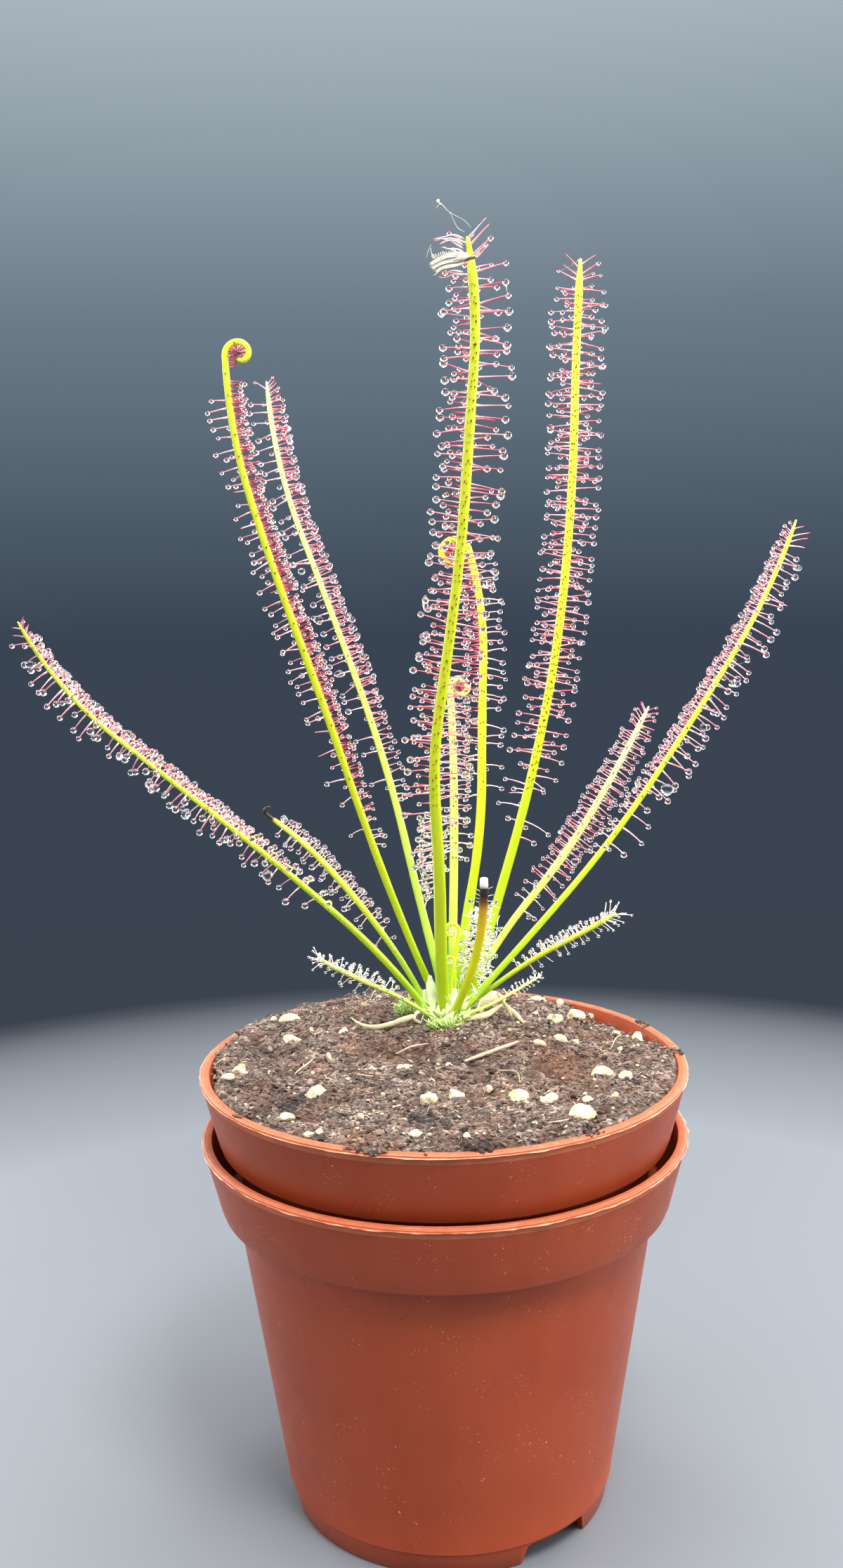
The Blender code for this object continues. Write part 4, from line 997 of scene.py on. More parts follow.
def rock(size, seed, detail):
    """Points and faces of an angular stone of a width, depth and height about the origin."""
    bm = bmesh.new()
    bmesh.ops.create_icosphere(bm, subdivisions=detail, radius=1.0)
    ways = np.array([v.co for v in bm.verts])
    tris = np.array([[v.index for v in f.verts] for f in bm.faces])
    bm.free()
    own = np.random.default_rng(seed)
    planes = unit(own.normal(0, 1, (11, 3)))
    far = own.uniform(0.6, 1.0, 11)
    meets = far / np.maximum(ways @ planes.T, 1e-3)
    radius = np.minimum(meets.min(1), 1.12)
    radius = radius * (1 + 0.07 * lumps(ways, 0.45, seed) + 0.035 * lumps(ways, 0.2, seed + 1))
    pits = np.clip(crumbs(ways[:, 0] + ways[:, 2], ways[:, 1] - ways[:, 2], 0.3, seed) - 0.8, 0, 1)
    radius = radius - 0.35 * pits
    return ways * radius[:, None] * np.array(size) / 2, tris


def placed(points, x, y, z, turn):
    """Points turned about Z and moved."""
    c, s = math.cos(math.radians(turn)), math.sin(math.radians(turn))
    return points @ np.array([[c, s, 0], [-s, c, 0], [0, 0, 1]]) + (x, y, z)


# Small grains of pumice: x, y, and width, depth and height
SMALL_GRAINS = (
    (20.8, -34.6, (2.4, 1.9, 1.8)), (24.7, -22.2, (2.4, 2.0, 1.8)), (29.5, -20.4, (1.8, 1.6, 1.5)),
    (34.6, 18.2, (3.2, 2.0, 1.8)), (22.7, 8.5, (3.4, 2.2, 1.7)), (25.4, 8.3, (1.9, 1.4, 1.2)),
    (19.0, 25.1, (2.0, 1.8, 1.8)), (24.5, 34.7, (2.6, 2.0, 2.0)), (0.9, -7.5, (2.4, 2.0, 1.6)),
    (18.3, 4.2, (3.2, 2.0, 1.5)), (-33.8, 22.1, (1.6, 1.4, 1.2)), (-25.6, 13.6, (1.4, 1.3, 1.2)),
    (-19.2, 11.0, (2.7, 1.9, 1.6)), (-39.0, -8.7, (2.4, 2.2, 2.0)), (-10.9, -7.8, (2.3, 2.0, 1.7)),
    (-7.0, -7.7, (3.0, 2.0, 1.6)), (-5.9, -11.3, (1.4, 1.3, 1.2)), (-10.7, -18.7, (1.1, 1.0, 0.9)),
    (-14.1, -28.6, (1.7, 1.5, 1.7)), (-4.9, -36.5, (2.2, 1.8, 1.9)), (-22.3, -35.5, (1.8, 1.4, 1.1)),
    (-20.6, -34.7, (1.6, 1.3, 1.2)), (-21.2, -1.4, (1.9, 1.3, 2.4)), (-13.1, 33.9, (2.0, 1.7, 1.6)),
    (7.9, -17.1, (1.7, 1.5, 1.5)), (3.6, -37.5, (1.5, 1.3, 1.3)), (30.6, 30.0, (2.0, 1.8, 1.6)),
    (14.8, -33.2, (1.7, 1.5, 1.3)), (33.5, 5.0, (1.3, 1.2, 1.0)), (-16.0, 30.0, (1.5, 1.3, 1.2)),
)


def make_grains(material):
    """The pumice: one piece for each CAD grain, and one for the small grains between them."""
    grains = sorted(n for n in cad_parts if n.startswith("grain_"))
    for i, node in enumerate(grains):
        low, high = (np.array(c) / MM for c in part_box(node))
        size = (high - low) * np.array([1.06, 1.06, 1.04])
        points, tris = rock(size, 40 + i, 4)
        shape = Shape()
        shape.add(points + (low + high) / 2, tris)
        piece(node.replace("grain", "pumice"), shape.mesh(node, smooth=True), material, "pumice", node)
    shape = Shape()
    for i, (x, y, size) in enumerate(SMALL_GRAINS):
        points, tris = rock(size, 90 + i, 3)
        z = float(soil_height(np.array(x), np.array(y))) + 0.15 * size[2]
        shape.add(placed(points, x, y, z, 37 * i), tris)
    x, y = scatter(110, 41.5)
    for i in range(len(x)):
        size = rng.uniform(0.35, 0.95) * np.array([1.0, 0.9, 0.8])
        points, tris = rock(size, 300 + i, 1)
        z = float(soil_top(x[i:i + 1], y[i:i + 1])[0][0]) + 0.3 * size[2]
        shape.add(points + (x[i], y[i], z), tris)
    piece("pumice_crumbs", shape.mesh("pumice_crumbs"), material, "pumice")


def between(values, share):
    """Reads a list of evenly spaced values at a share of its length."""
    place = max(0.0, min(1.0, share)) * (len(values) - 1)
    low = min(int(place), len(values) - 2)
    return values[low] + (values[low + 1] - values[low]) * (place - low)


def leaf_line(leaf):
    """Points along a leaf: its leaning blade and then its coil."""
    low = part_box(leaf.name)[0].z / MM
    tilt = math.radians(max(abs(leaf.right[0]), abs(leaf.back)))
    point = np.array([*leaf.base, low + leaf.width[0] / 2 * math.sin(tilt)])
    steps = max(8, round(leaf.length / LEAF_STEP))
    points = [point.copy()]
    back = math.tan(math.radians(leaf.back))
    for i in range(steps):
        lean = math.tan(math.radians(between(leaf.right, (i + 0.5) / steps)))
        point = point + unit(np.array([lean, back, 1.0])) * leaf.length / steps
        points.append(point)
    if leaf.coil:
        count = max(8, round(leaf.coil.turns * COIL_STEPS_PER_TURN))
        turn = TAU * leaf.coil.turns / count
        angle = math.radians(leaf.right[-1])
        for i in range(count):
            radius = leaf.coil.start + (leaf.coil.end - leaf.coil.start) * i / (count - 1)
            angle += leaf.coil.side * turn
            point = point + np.array([math.sin(angle), 0.0, math.cos(angle)]) * radius * turn
            points.append(point)
    return np.array(points)


class Blade:
    """A leaf's line with its frame and radius, which can be read at any share of its length."""

    def __init__(self, leaf):
        self.leaf = leaf
        self.line = leaf_line(leaf)
        tangents, across, other = carried(self.line[None], (1.0, 0.0, 0.0))
        self.tangents, self.across, self.other = tangents[0], across[0], other[0]
        lengths = np.linalg.norm(np.diff(self.line, axis=0), axis=1)
        self.share = np.concatenate([[0], np.cumsum(lengths)]) / lengths.sum()
        self.length = lengths.sum()
        radii = np.interp(self.share, np.linspace(0, 1, 3), leaf.width) / 2
        end = (1 - self.share) * self.length
        taper = 3.2 if leaf.coil or leaf.dry else 7.5
        blunt = 0.8 if leaf.slot == "leaf_withered" else 0.3
        self.radii = radii * np.clip(blunt + (1 - blunt) * end / (taper * radii), 0, 1) ** 0.8

    def at(self, share):
        """Middle, tangent, the two directions across, and radius at shares."""
        read = [np.stack([np.interp(share, self.share, part[:, k]) for k in range(3)], -1)
                for part in (self.line, self.tangents, self.across, self.other)]
        return (*read, np.interp(share, self.share, self.radii))


def make_blade(blade, material):
    """The leaf's own body: a slightly uneven tube that dries towards its tip where it withers."""
    leaf, line = blade.leaf, blade.line
    root = line[0] - blade.tangents[0] * np.array([[1.6], [1.5]])
    tip = line[-1] + blade.tangents[-1] * blade.radii[-1] * (0.1 if leaf.dry else 0.6)
    path = np.concatenate([root, line, [tip]])
    waver = 1 + 0.05 * lumps(line, 6.0, 20) + 0.03 * lumps(line, 2.0, 21)
    radii = np.concatenate([[0, blade.radii[0] * 0.9], blade.radii * waver, [0]])
    share = np.concatenate([[0, 0], blade.share, [1]])
    dry = np.zeros(len(path))
    if leaf.dry:
        dry = np.clip((share - leaf.dry) / (1 - leaf.dry), 0, 1)
        if leaf.slot != "leaf_withered":
            dry = np.clip(dry * 3, 0, 0.8)
        shrink = 1 - 0.12 * np.clip(dry - 0.5, 0, 1) + 0.1 * lumps(path, 0.9, 22) * (dry > 0.5)
        radii = radii * shrink
    front = np.sin(TAU * np.arange(LEAF_SIDES) / LEAF_SIDES)
    section = np.minimum(1.0, 0.8 / np.maximum(-front, 0.1)) if leaf.width[0] > 1.25 else 1.0
    shape = Shape()
    tubes(shape, path[None], radii[None], LEAF_SIDES, dry[None], first=(1.0, 0.0, 0.0), along=share,
          section=section)
    return piece(f"{leaf.name}_blade", shape.mesh(leaf.name), material, leaf.slot, leaf.name)


def along_band(band, length):
    """Shares, facings and stalk lengths of a band's tentacles, which start sparsely."""
    place = np.linspace(band.start, band.end, 200)
    density = np.ones(200)
    if band.start < 0.55:
        density = 0.16 + 0.84 * np.clip((place - band.start) / 0.24, 0, 1) ** 1.2
    total = np.concatenate([[0], np.cumsum((density[1:] + density[:-1]) / 2)])
    count = max(1, round((band.end - band.start) * length / band.every * density.mean()))
    drawn = np.clip((np.arange(count) + 0.5 + rng.uniform(-0.4, 0.4, count)) / count, 0, 1)
    share = np.interp(drawn * total[-1], total, place)
    row = (np.arange(count) * 0.618 + rng.uniform(0, 0.15, count)) % 1
    facing = band.facing + band.spread * (2 * row - 1)
    reach = band.short + (band.long - band.short) * rng.uniform(0, 1, count)
    return share, np.radians(facing), reach


def make_tentacles(blade, skin_material, dew_material):
    """A leaf's stalks with their glands, and the drops that they hold."""
    leaf = blade.leaf
    stalks, drops = Shape(), Shape()
    ends = []
    for band in BANDS[leaf.name]:
        share, facing, reach = along_band(band, blade.length)
        middle, tangent, across, other, radius = blade.at(share)
        out = unit(np.cos(facing)[:, None] * across + np.sin(facing)[:, None] * other)
        from_tip = (1 - share) * blade.length
        coiled = bool(leaf.coil) and band.start > 0.8
        near_tip = np.full(len(share), 99.0) if leaf.coil else from_tip
        fan = np.clip(1 - near_tip / 6.5, 0, 1)
        lean = 1.1 * fan + rng.normal(0.03, 0.1, len(share))
        way = unit(out + lean[:, None] * tangent + rng.normal(0, 0.07, out.shape))
        low = np.clip((band.start + 0.12 - share) / 0.12, 0, 1) * (band.start < 0.5)
        droop = band.droop + 0.22 * low + rng.uniform(0, 0.05, len(share))
        young = np.clip(0.25 + near_tip / 13, 0, 1)
        reach = reach * (0.7 + 0.3 * young) * (1 + 0.1 * low)
        foot = middle + out * (radius * 0.85)[:, None]
        steps = np.array([-0.05, 0.0, 0.35, 0.7, 1.0, 1.04])
        fall = (droop * reach)[:, None] * steps ** 2
        paths = foot[:, None] + way[:, None] * (reach[:, None] * steps)[..., None]
        paths[..., 2] -= fall
        thick = (0.14 if band.red > 0.3 else 0.11) * rng.uniform(0.85, 1.15, len(share)) * np.clip(0.55 + reach / 6, 0.6, 1.1)
        radii = thick[:, None] * np.array([0, 1.25, 0.85, 0.7, 0.6, 0])
        pale = band.red * (1 - 0.55 * low) * rng.uniform(0.85, 1.1, len(share))
        tone = pale[:, None] * np.array([0.55, 0.55, 1.0, 1.12, 1.2, 1.2])
        tubes(stalks, paths, radii, 4, np.clip(tone, 0, 0.9))
        ending = unit(paths[:, 4] - paths[:, 3])
        tip = paths[:, 4]
        has_drop = (rng.uniform(0, 1, len(share)) > 0.03 + (0.5 if band.red > 0.3 else 0.1) * fan) & (band.drop > 0)
        gland = (0.125 if band.red > 0.3 else 0.09) * rng.uniform(0.8, 1.2, len(share))
        dark = 0.9 if band.red > 0.3 else 0.3
        balls(stalks, tip, ending, gland, gland * 1.4, 2, 5, np.full(len(share), dark))
        if has_drop.any():
            size = band.drop / 2 * rng.uniform(0.72, 1.12, len(share)) * (0.45 + 0.55 * young)
            where = tip + ending * (0.05 * size)[:, None] - (0, 0, 0.06)
            balls(drops, where[has_drop], ending[has_drop], size[has_drop], size[has_drop] * 1.02,
                  5, 9)
        if not coiled:
            ends.append(tip[has_drop])
    specks(blade, stalks)
    for blob in BLOBS:
        if blob.leaf == leaf.name:
            add_blob(blade, blob, drops)
    if leaf.name in ("leaf_front_wet", "leaf_wet_thin"):
        wet_tangle(blade, np.concatenate(ends), stalks, drops)
    threads(np.concatenate(ends) if ends else np.zeros((0, 3)), drops)
    piece(f"{leaf.name}_tentacles", stalks.mesh("tentacles"), skin_material, "tentacle")
    if drops.size:
        wet = piece(f"{leaf.name}_dew", drops.mesh("dew"), dew_material, "dew")
        wet.visible_shadow = False


# Rows of dark stalk feet on a leaf's bare face: facings, distance between them, and first share
SPECKS = {
    "leaf_tall_middle": ((-70, -105), 1.7, 0.3),
    "leaf_tall_right": ((-55, -88, -122), 1.5, 0.3),
    "leaf_left_coiled": ((-75,), 5.0, 0.35),
    "leaf_left_rear": ((-80,), 6.0, 0.4),
    "leaf_middle_coiled": ((-70, -110), 3.0, 0.4),
    "leaf_middle_short_coiled": ((-65, -110), 2.6, 0.4),
    "leaf_far_right": ((-90,), 7.0, 0.35),
    "leaf_far_left": ((-90,), 7.0, 0.35),
}


def specks(blade, stalks):
    """Adds the dark feet of stalks on the leaf's bare face."""
    if blade.leaf.name not in SPECKS:
        return
    rows, every, first = SPECKS[blade.leaf.name]
    for row in rows:
        count = round((0.95 - first) * blade.length / every)
        share = np.linspace(first, 0.95, count) + rng.normal(0, 0.25 * every / blade.length, count)
        facing = np.radians(row + rng.normal(0, 7, count))
        middle, tangent, across, other, radius = blade.at(share)
        out = unit(np.cos(facing)[:, None] * across + np.sin(facing)[:, None] * other)
        size = rng.uniform(0.09, 0.17, count)
        balls(stalks, middle + out * (radius - 0.03)[:, None], tangent, size, size * 1.2, 2, 5,
              rng.uniform(0.86, 1.0, count))


def add_blob(blade, blob, drops):
    """Adds a large drop of an uneven shape, near the leaf."""
    middle, tangent, across, other, radius = blade.at(np.array([blob.share]))
    facing = math.radians(blob.facing)
    out = unit(math.cos(facing) * across + math.sin(facing) * other)
    centre = (middle + out * blob.reach)[0]
    width, height, depth = blob.size
    bm = bmesh.new()
    bmesh.ops.create_icosphere(bm, subdivisions=3, radius=0.5)
    ways = np.array([v.co for v in bm.verts])
    tris = np.array([[v.index for v in f.verts] for f in bm.faces])
    bm.free()
    swell = 1 + 0.16 * lumps(ways, 0.35, round(100 * blob.share)) - 0.25 * np.clip(ways[:, 2], 0, 1)
    drops.add(ways * swell[:, None] * (width, depth, height) + centre, tris)


def wet_tangle(blade, tips, stalks, drops):
    """Adds clear drops of mixed sizes and pale stalks in a tangle round a wet leaf."""
    count = len(tips)
    near = tips + rng.normal(0, 0.5, (count, 3))
    size = rng.uniform(0.3, 0.62, count)
    balls(drops, near, rng.normal(0, 1, (count, 3)), size, size * rng.uniform(0.9, 1.3, count), 5, 9)
    start = tips[rng.permutation(count)]
    steps = np.linspace(0, 1, 5)
    end = start + rng.normal(0, 1.1, (count, 3))
    sag = rng.normal(0, 0.5, (count, 3))
    paths = start[:, None] + (end - start)[:, None] * steps[:, None]
    paths = paths + sag[:, None] * (4 * steps * (1 - steps))[:, None]
    tubes(stalks, paths, np.array([0, 0.11, 0.1, 0.09, 0]), 4, np.full(count, 0.05))


def threads(tips, drops):
    """Adds fine threads of mucilage between a few neighbouring drops."""
    if len(tips) < 12:
        return
    first = rng.choice(len(tips), max(2, len(tips) // 45), replace=False)
    for i in first:
        away = np.linalg.norm(tips - tips[i], axis=1)
        near = np.flatnonzero((away > 1.4) & (away < 5.0))
        if not len(near):
            continue
        end = tips[rng.choice(near)]
        steps = np.linspace(-0.05, 1.05, 7)
        path = tips[i] + (end - tips[i]) * steps[:, None]
        path[:, 2] -= 0.25 * 4 * steps * (1 - steps)
        radii = np.array([0, 0.1, 0.05, 0.035, 0.05, 0.1, 0])
        tubes(drops, path[None], radii[None], 4)


# Tall white sheaths at the middle leaves' feet: points x, y and height over the soil, and widths
SHEATHS = (
    (((-1.4, 11.6, 1.6), (-1.9, 11.9, 4.5), (-2.2, 12.2, 7.0), (-2.3, 12.4, 9.0)), (1.4, 2.0, 1.6, 0.8)),
    (((-2.2, 12.8, 1.6), (-2.9, 13.2, 3.6), (-3.3, 13.4, 5.8)), (1.2, 1.6, 0.8)),
    (((2.0, 11.2, 1.6), (2.3, 11.6, 4.0), (2.5, 11.9, 6.4)), (1.4, 1.9, 1.0)),
    (((3.4, 12.6, 1.6), (4.1, 13.0, 3.6), (4.5, 13.3, 5.2)), (1.2, 1.5, 0.7)),
    (((1.2, 10.0, 1.2), (2.6, 9.6, 2.6), (4.2, 9.3, 2.2)), (0.5, 0.9, 0.4)),
)


def make_crown(material, scale_material, hair_material):
    """The crown: a lumpy heart, pale scales that wrap the leaf feet, and a few white hairs."""
    low, high = (np.array(c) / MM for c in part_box("crown"))
    centre = (low + high) / 2
    half = (high - low) / 2
    top = high[2]
    bm = bmesh.new()
    bmesh.ops.create_icosphere(bm, subdivisions=5, radius=1.0)
    ways = np.array([v.co for v in bm.verts])
    tris = np.array([[v.index for v in f.verts] for f in bm.faces])
    bm.free()
    swell = 1 + 0.16 * lumps(ways, 0.3, 31) + 0.08 * lumps(ways, 0.12, 32)
    heart = ways * swell[:, None] * (half[0] * 0.86, half[1] * 0.86, 1.8)
    shape = Shape()
    shape.add(heart + (centre[0], centre[1], top - 1.6), tris, tone=0.4 + 0.3 * lumps(ways, 0.2, 33))
    piece("crown_heart", shape.mesh("crown_heart"), material, "crown", "crown")

    scales, hairs = Shape(), Shape()
    steps = np.linspace(0, 1, 7)
    for leaf in LEAVES:
        blade = blades[leaf.name]
        foot, tangent = blade.line[0], blade.tangents[0]
        wide = leaf.width[0]
        count = 6
        turn = TAU * np.arange(count) / count + rng.uniform(0, 0.7, count)
        out = np.cos(turn)[:, None] * blade.across[0] + np.sin(turn)[:, None] * blade.other[0]
        reach = rng.uniform(2.0, 5.4, count) * (0.5 + 0.33 * wide) * np.where(out[:, 1] < -0.3, 0.5, 1)
        start = foot + out * wide * 0.5 - tangent * 0.9
        bow = 0.28 * np.sin(math.pi * np.minimum(steps * 1.25, 1.0)) + 0.12 * steps ** 2
        paths = start[:, None] + tangent * (reach[:, None] * steps)[..., None]
        paths = paths + out[:, None] * bow[:, None]
        width = (0.3 + 0.28 * wide) * rng.uniform(0.8, 1.15, count)[:, None]
        width = width * np.array([0, 1.0, 1.0, 0.85, 0.6, 0.3, 0])
        tubes(scales, paths, width, 6, rng.uniform(0.1, 0.9, count), flat=0.22,
              first=np.cross(out, tangent))
        count = round(4 + 4 * wide)
        turn = rng.uniform(0, TAU, count)
        out = np.cos(turn)[:, None] * blade.across[0] + np.sin(turn)[:, None] * blade.other[0]
        reach = rng.uniform(0.8, 2.2, count)
        start = foot + out * wide * 0.55 + tangent * rng.uniform(0.2, 3.0, (count, 1))
        way = unit(0.7 * tangent + 0.6 * out + rng.normal(0, 0.3, (count, 3)))
        curl = rng.normal(0, 0.3, (count, 3))
        paths = start[:, None] + way[:, None] * (reach[:, None] * steps)[..., None]
        paths = paths + curl[:, None] * (reach[:, None] * steps ** 2)[..., None]
        radii = 0.045 * rng.uniform(0.7, 1.4, count)[:, None] * np.array([0, 1.2, 1.0, 0.9, 0.7, 0.5, 0])
        tubes(hairs, paths, radii, 3, rng.uniform(0.3, 1.0, count))
    turn = rng.uniform(0, TAU, 46)
    spot = rng.uniform(0.55, 0.95, 46)
    x, y = centre[0] + half[0] * spot * np.cos(turn), centre[1] + half[1] * spot * np.sin(turn)
    out = np.stack([np.cos(turn), np.sin(turn), np.zeros(46)], -1)
    start = np.stack([x, y, np.full(46, top - 1.3)], -1)
    reach = rng.uniform(1.0, 2.2, 46)
    way = unit(out * rng.uniform(-0.3, 0.7, (46, 1)) + (0, 0, 1) + rng.normal(0, 0.25, (46, 3)))
    paths = start[:, None] + way[:, None] * (reach[:, None] * steps)[..., None]
    width = rng.uniform(0.3, 0.6, 46)[:, None] * np.array([0, 1.0, 1.0, 0.85, 0.6, 0.3, 0])
    tubes(scales, paths, width, 6, rng.uniform(0.1, 0.9, 46), flat=0.3,
          first=np.cross(out, (0.0, 0.0, 1.0)))
    for points, widths in SHEATHS:
        ribbon(scales, on_soil(points), widths, 0.18, 1.0, first=(1.0, 0.0, 0.0))
    piece("crown_scales", scales.mesh("crown_scales"), scale_material, "woolly_hair")
    piece("crown_wool", hairs.mesh("crown_wool"), hair_material, "woolly_hair")


def make_moss(material):
    """Two tufts of moss, each of pointed leaflets that spread from short shoots."""
    for node, shoots, tall in (("moss_left", 9, 4.4), ("moss_front", 12, 2.7)):
        low, high = (np.array(c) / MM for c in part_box(node))
        centre, half = (low + high) / 2, (high - low) / 2
        shape = Shape()
        for k in range(shoots):
            turn = k * 2.4
            spot = 0.72 * math.sqrt((k + 0.5) / shoots)
            x = centre[0] + half[0] * spot * math.cos(turn)
            y = centre[1] + half[1] * spot * math.sin(turn)
            foot = np.array([x, y, low[2] + 0.3])
            rise = unit(np.array([0.5 * spot * math.cos(turn), 0.5 * spot * math.sin(turn), 1.0]))
            height = tall * rng.uniform(0.7, 1.0)
            stem = foot + rise * height * np.linspace(0, 1, 6)[:, None]
            tubes(shape, stem[None], np.array([[0, 0.16, 0.15, 0.13, 0.1, 0]]), 5, 0.3)
            count = 15
            share = np.linspace(0.25, 1.0, count)
            around = np.arange(count) * 2.4 + rng.uniform(0, 1, count)
            out = np.stack([np.cos(around), np.sin(around), np.zeros(count)], -1)
            start = foot + rise * (height * share)[:, None]
            reach = rng.uniform(0.9, 1.7, count) * (1.15 - 0.3 * share)
            steps = np.linspace(0, 1, 6)
            up = 0.25 + 1.1 * share
            way = unit(out + up[:, None] * rise)
            paths = start[:, None] + way[:, None] * (reach[:, None] * steps)[..., None]
            paths = paths + out[:, None] * (0.18 * reach[:, None] * steps ** 2)[..., None]
            width = 0.2 * np.array([0, 0.9, 1.0, 0.7, 0.35, 0])
            tubes(shape, paths, np.broadcast_to(width, (count, 6)), 4,
                  np.clip(0.35 + 0.5 * share + rng.normal(0, 0.12, count), 0, 1), flat=0.3,
                  first=np.cross(out, (0.0, 0.0, 1.0)))
        piece(f"{node}_tuft", shape.mesh(node), material, "moss", node)


def smooth_path(points, count):
    """An even number of points on a smooth curve through given points."""
    given = np.array(points, float)
    ends = np.concatenate([[2 * given[0] - given[1]], given, [2 * given[-1] - given[-2]]])
    place = np.linspace(0, len(given) - 1, count)
    i = np.minimum(place.astype(int), len(given) - 2)
    t = (place - i)[:, None]
    a, b, c, d = ends[i], ends[i + 1], ends[i + 2], ends[i + 3]
    return 0.5 * (2 * b + (c - a) * t + (2 * a - 5 * b + 4 * c - d) * t ** 2
                  + (3 * b - a - 3 * c + d) * t ** 3)


def on_soil(points):
    """Points given as x, y and height over the soil's broad surface."""
    return [(x, y, float(soil_height(np.array(x), np.array(y))) + lift) for x, y, lift in points]


def ribbon(shape, points, widths, flat, tone, count=26, first=(0.0, 0.0, 1.0), seed=50):
    """Adds a flat, slightly crumpled strip along points."""
    path = smooth_path(points, count)
    path = path + 0.12 * np.stack([lumps(path, 2.0, seed + k) for k in range(3)], -1)
    share = np.linspace(0, 1, count)
    wide = np.interp(share, np.linspace(0, 1, len(widths)), widths) / 2
    wide = wide * (1 + 0.18 * lumps(path, 1.3, seed + 4))
    wide[0] = wide[-1] = 0
    tubes(shape, path[None], wide[None], 8, tone, first=first, flat=flat)


def make_dead_leaves(material):
    """The dry leaves that lie on the soil at the crown."""
    left = Shape()
    ribbon(left, on_soil(((-5.2, 10.4, 1.5), (-7.2, 9.8, 1.4), (-10.5, 9.2, 1.0), (-13.6, 9.4, 0.9),
                          (-16.0, 12.0, 0.9), (-18.2, 17.0, 1.0))),
           (1.2, 1.25, 1.1, 0.9, 0.75, 0.4), 0.35, 0.8)
    ribbon(left, on_soil(((-1.6, 11.0, 1.4), (-3.2, 10.4, 2.6), (-4.8, 9.9, 2.5), (-5.3, 9.4, 1.4),
                          (-4.0, 8.6, 0.8))), (1.1, 1.1, 0.9, 0.7), 0.3, 0.7, first=(0.0, 1.0, 0.0))
    piece("dry_leaf_left", left.mesh("dry_leaf_left"), material, "dead_leaf", "dead_leaf_left")
    right = Shape()
    strips = (
        (((6.6, 16.8, 2.2), (8.2, 18.3, 3.0), (10.4, 20.4, 3.3), (13.0, 22.6, 2.6)),
         (2.2, 3.2, 2.8, 1.8, 0.8), 0.2, 0.95),
        (((3.9, 9.8, 1.2), (8.2, 11.0, 1.8), (10.2, 12.5, 2.7), (12.2, 14.5, 3.6)),
         (1.1, 1.3, 1.2, 0.8, 0.4), 0.3, 0.75),
        (((10.6, 12.5, 6.4), (11.6, 12.4, 5.0), (12.6, 12.2, 3.4), (13.6, 12.0, 2.0)),
         (0.4, 0.8, 0.9, 0.3), 0.3, 0.2),
        (((12.6, 14.6, 3.2), (14.4, 14.0, 2.0), (16.0, 13.0, 0.9)),
         (0.5, 1.1, 0.9, 0.3), 0.3, 1.0),
    )
    for k, (points, widths, flat, tone) in enumerate(strips):
        ribbon(right, on_soil(points), widths, flat, tone, seed=60 + 5 * k)
    piece("dry_leaf_right", right.mesh("dry_leaf_right"), material, "dead_leaf", "dead_leaf_right")


def make_twigs(material):
    """The thin stick on the soil."""
    shape = Shape()
    ribbon(shape, on_soil(((3.6, -6.9, 0.8), (7.0, -4.4, 0.9), (10.6, -1.6, 1.0), (14.4, 2.1, 1.1))),
           (0.5, 0.75, 0.85, 0.8, 0.65), 0.8, 0.7, seed=80)
    piece("stick", shape.mesh("stick"), material, "twig", "twig")
    bits = Shape()
    for k, (points, widths, tone) in enumerate((
            (((-24.0, -2.0, 0.7), (-25.5, -6.0, 0.9), (-27.0, -9.0, 0.6)), (0.3, 0.5, 0.4, 0.2), 0.9),
            (((-9.0, -2.5, 0.5), (-6.0, -0.8, 0.9), (-2.6, 0.8, 0.6)), (0.25, 0.4, 0.3), 0.8),
            (((30.4, 8.0, 0.3), (31.4, 6.0, 1.2), (30.8, 3.6, 1.5)), (0.2, 0.25, 0.2), 1.0),
            (((31.6, 3.2, 0.6), (32.6, 5.0, 2.0), (34.2, 7.2, 2.4)), (0.2, 0.3, 0.2), 1.0),
            (((16.0, -33.5, 0.5), (20.0, -32.6, 0.7), (23.0, -32.0, 0.5)), (0.3, 0.45, 0.3), 1.0),
            (((-17.5, -9.5, 0.6), (-13.6, -11.6, 0.9), (-10.4, -12.4, 0.7)), (0.25, 0.35, 0.3), 0.7),
            (((9.6, -9.8, 0.7), (13.0, -11.4, 1.1), (13.4, -15.4, 0.6)), (0.2, 0.3, 0.2), 0.6))):
        ribbon(bits, on_soil(points), widths, 0.7, tone, count=14, seed=90 + 3 * k)
    piece("stick_bits", bits.mesh("stick_bits"), material, "twig")


HUSK_BLADES = 19

# Stalks of the middle leaf that have bent over the insect, as places from the insect's middle
BENT_STALKS = (
    ((2.3, 2.6, 3.9), (0.3, 1.6, 4.4), (-1.4, 0.8, 3.9), (-3.2, 0.2, 3.5)),
    ((2.2, 2.6, 3.3), (0.3, 1.5, 3.8), (-1.4, 0.8, 3.6), (-3.1, 0.1, 3.2)),
    ((2.1, 2.7, 2.8), (0.4, 1.4, 3.5), (-0.9, 0.8, 3.3), (-2.2, 0.2, 2.6)),
    ((2.1, 2.7, 2.4), (0.6, 1.6, 3.0), (-0.9, 0.9, 3.6), (-2.9, 0.3, 3.7)),
    ((2.0, 2.7, 1.9), (0.5, 1.2, 2.2), (-0.6, 0.4, 2.0), (-1.5, 0.0, 2.4)),
    ((2.0, 2.7, -1.3), (0.2, 1.4, -1.2), (-0.8, 0.6, -1.6), (-2.2, 0.1, -2.2)),
    ((2.0, 2.7, -1.7), (0.4, 1.5, -1.7), (-1.2, 0.7, -2.4), (-2.5, 0.2, -2.3)),
    ((2.9, 2.6, 4.2), (4.0, 2.4, 5.4), (5.0, 2.2, 6.4), (5.7, 2.1, 7.1)),
    ((3.6, 2.5, 0.9), (4.3, 1.6, 1.0), (5.0, 1.2, 1.7), (5.8, 1.0, 2.6)),
)


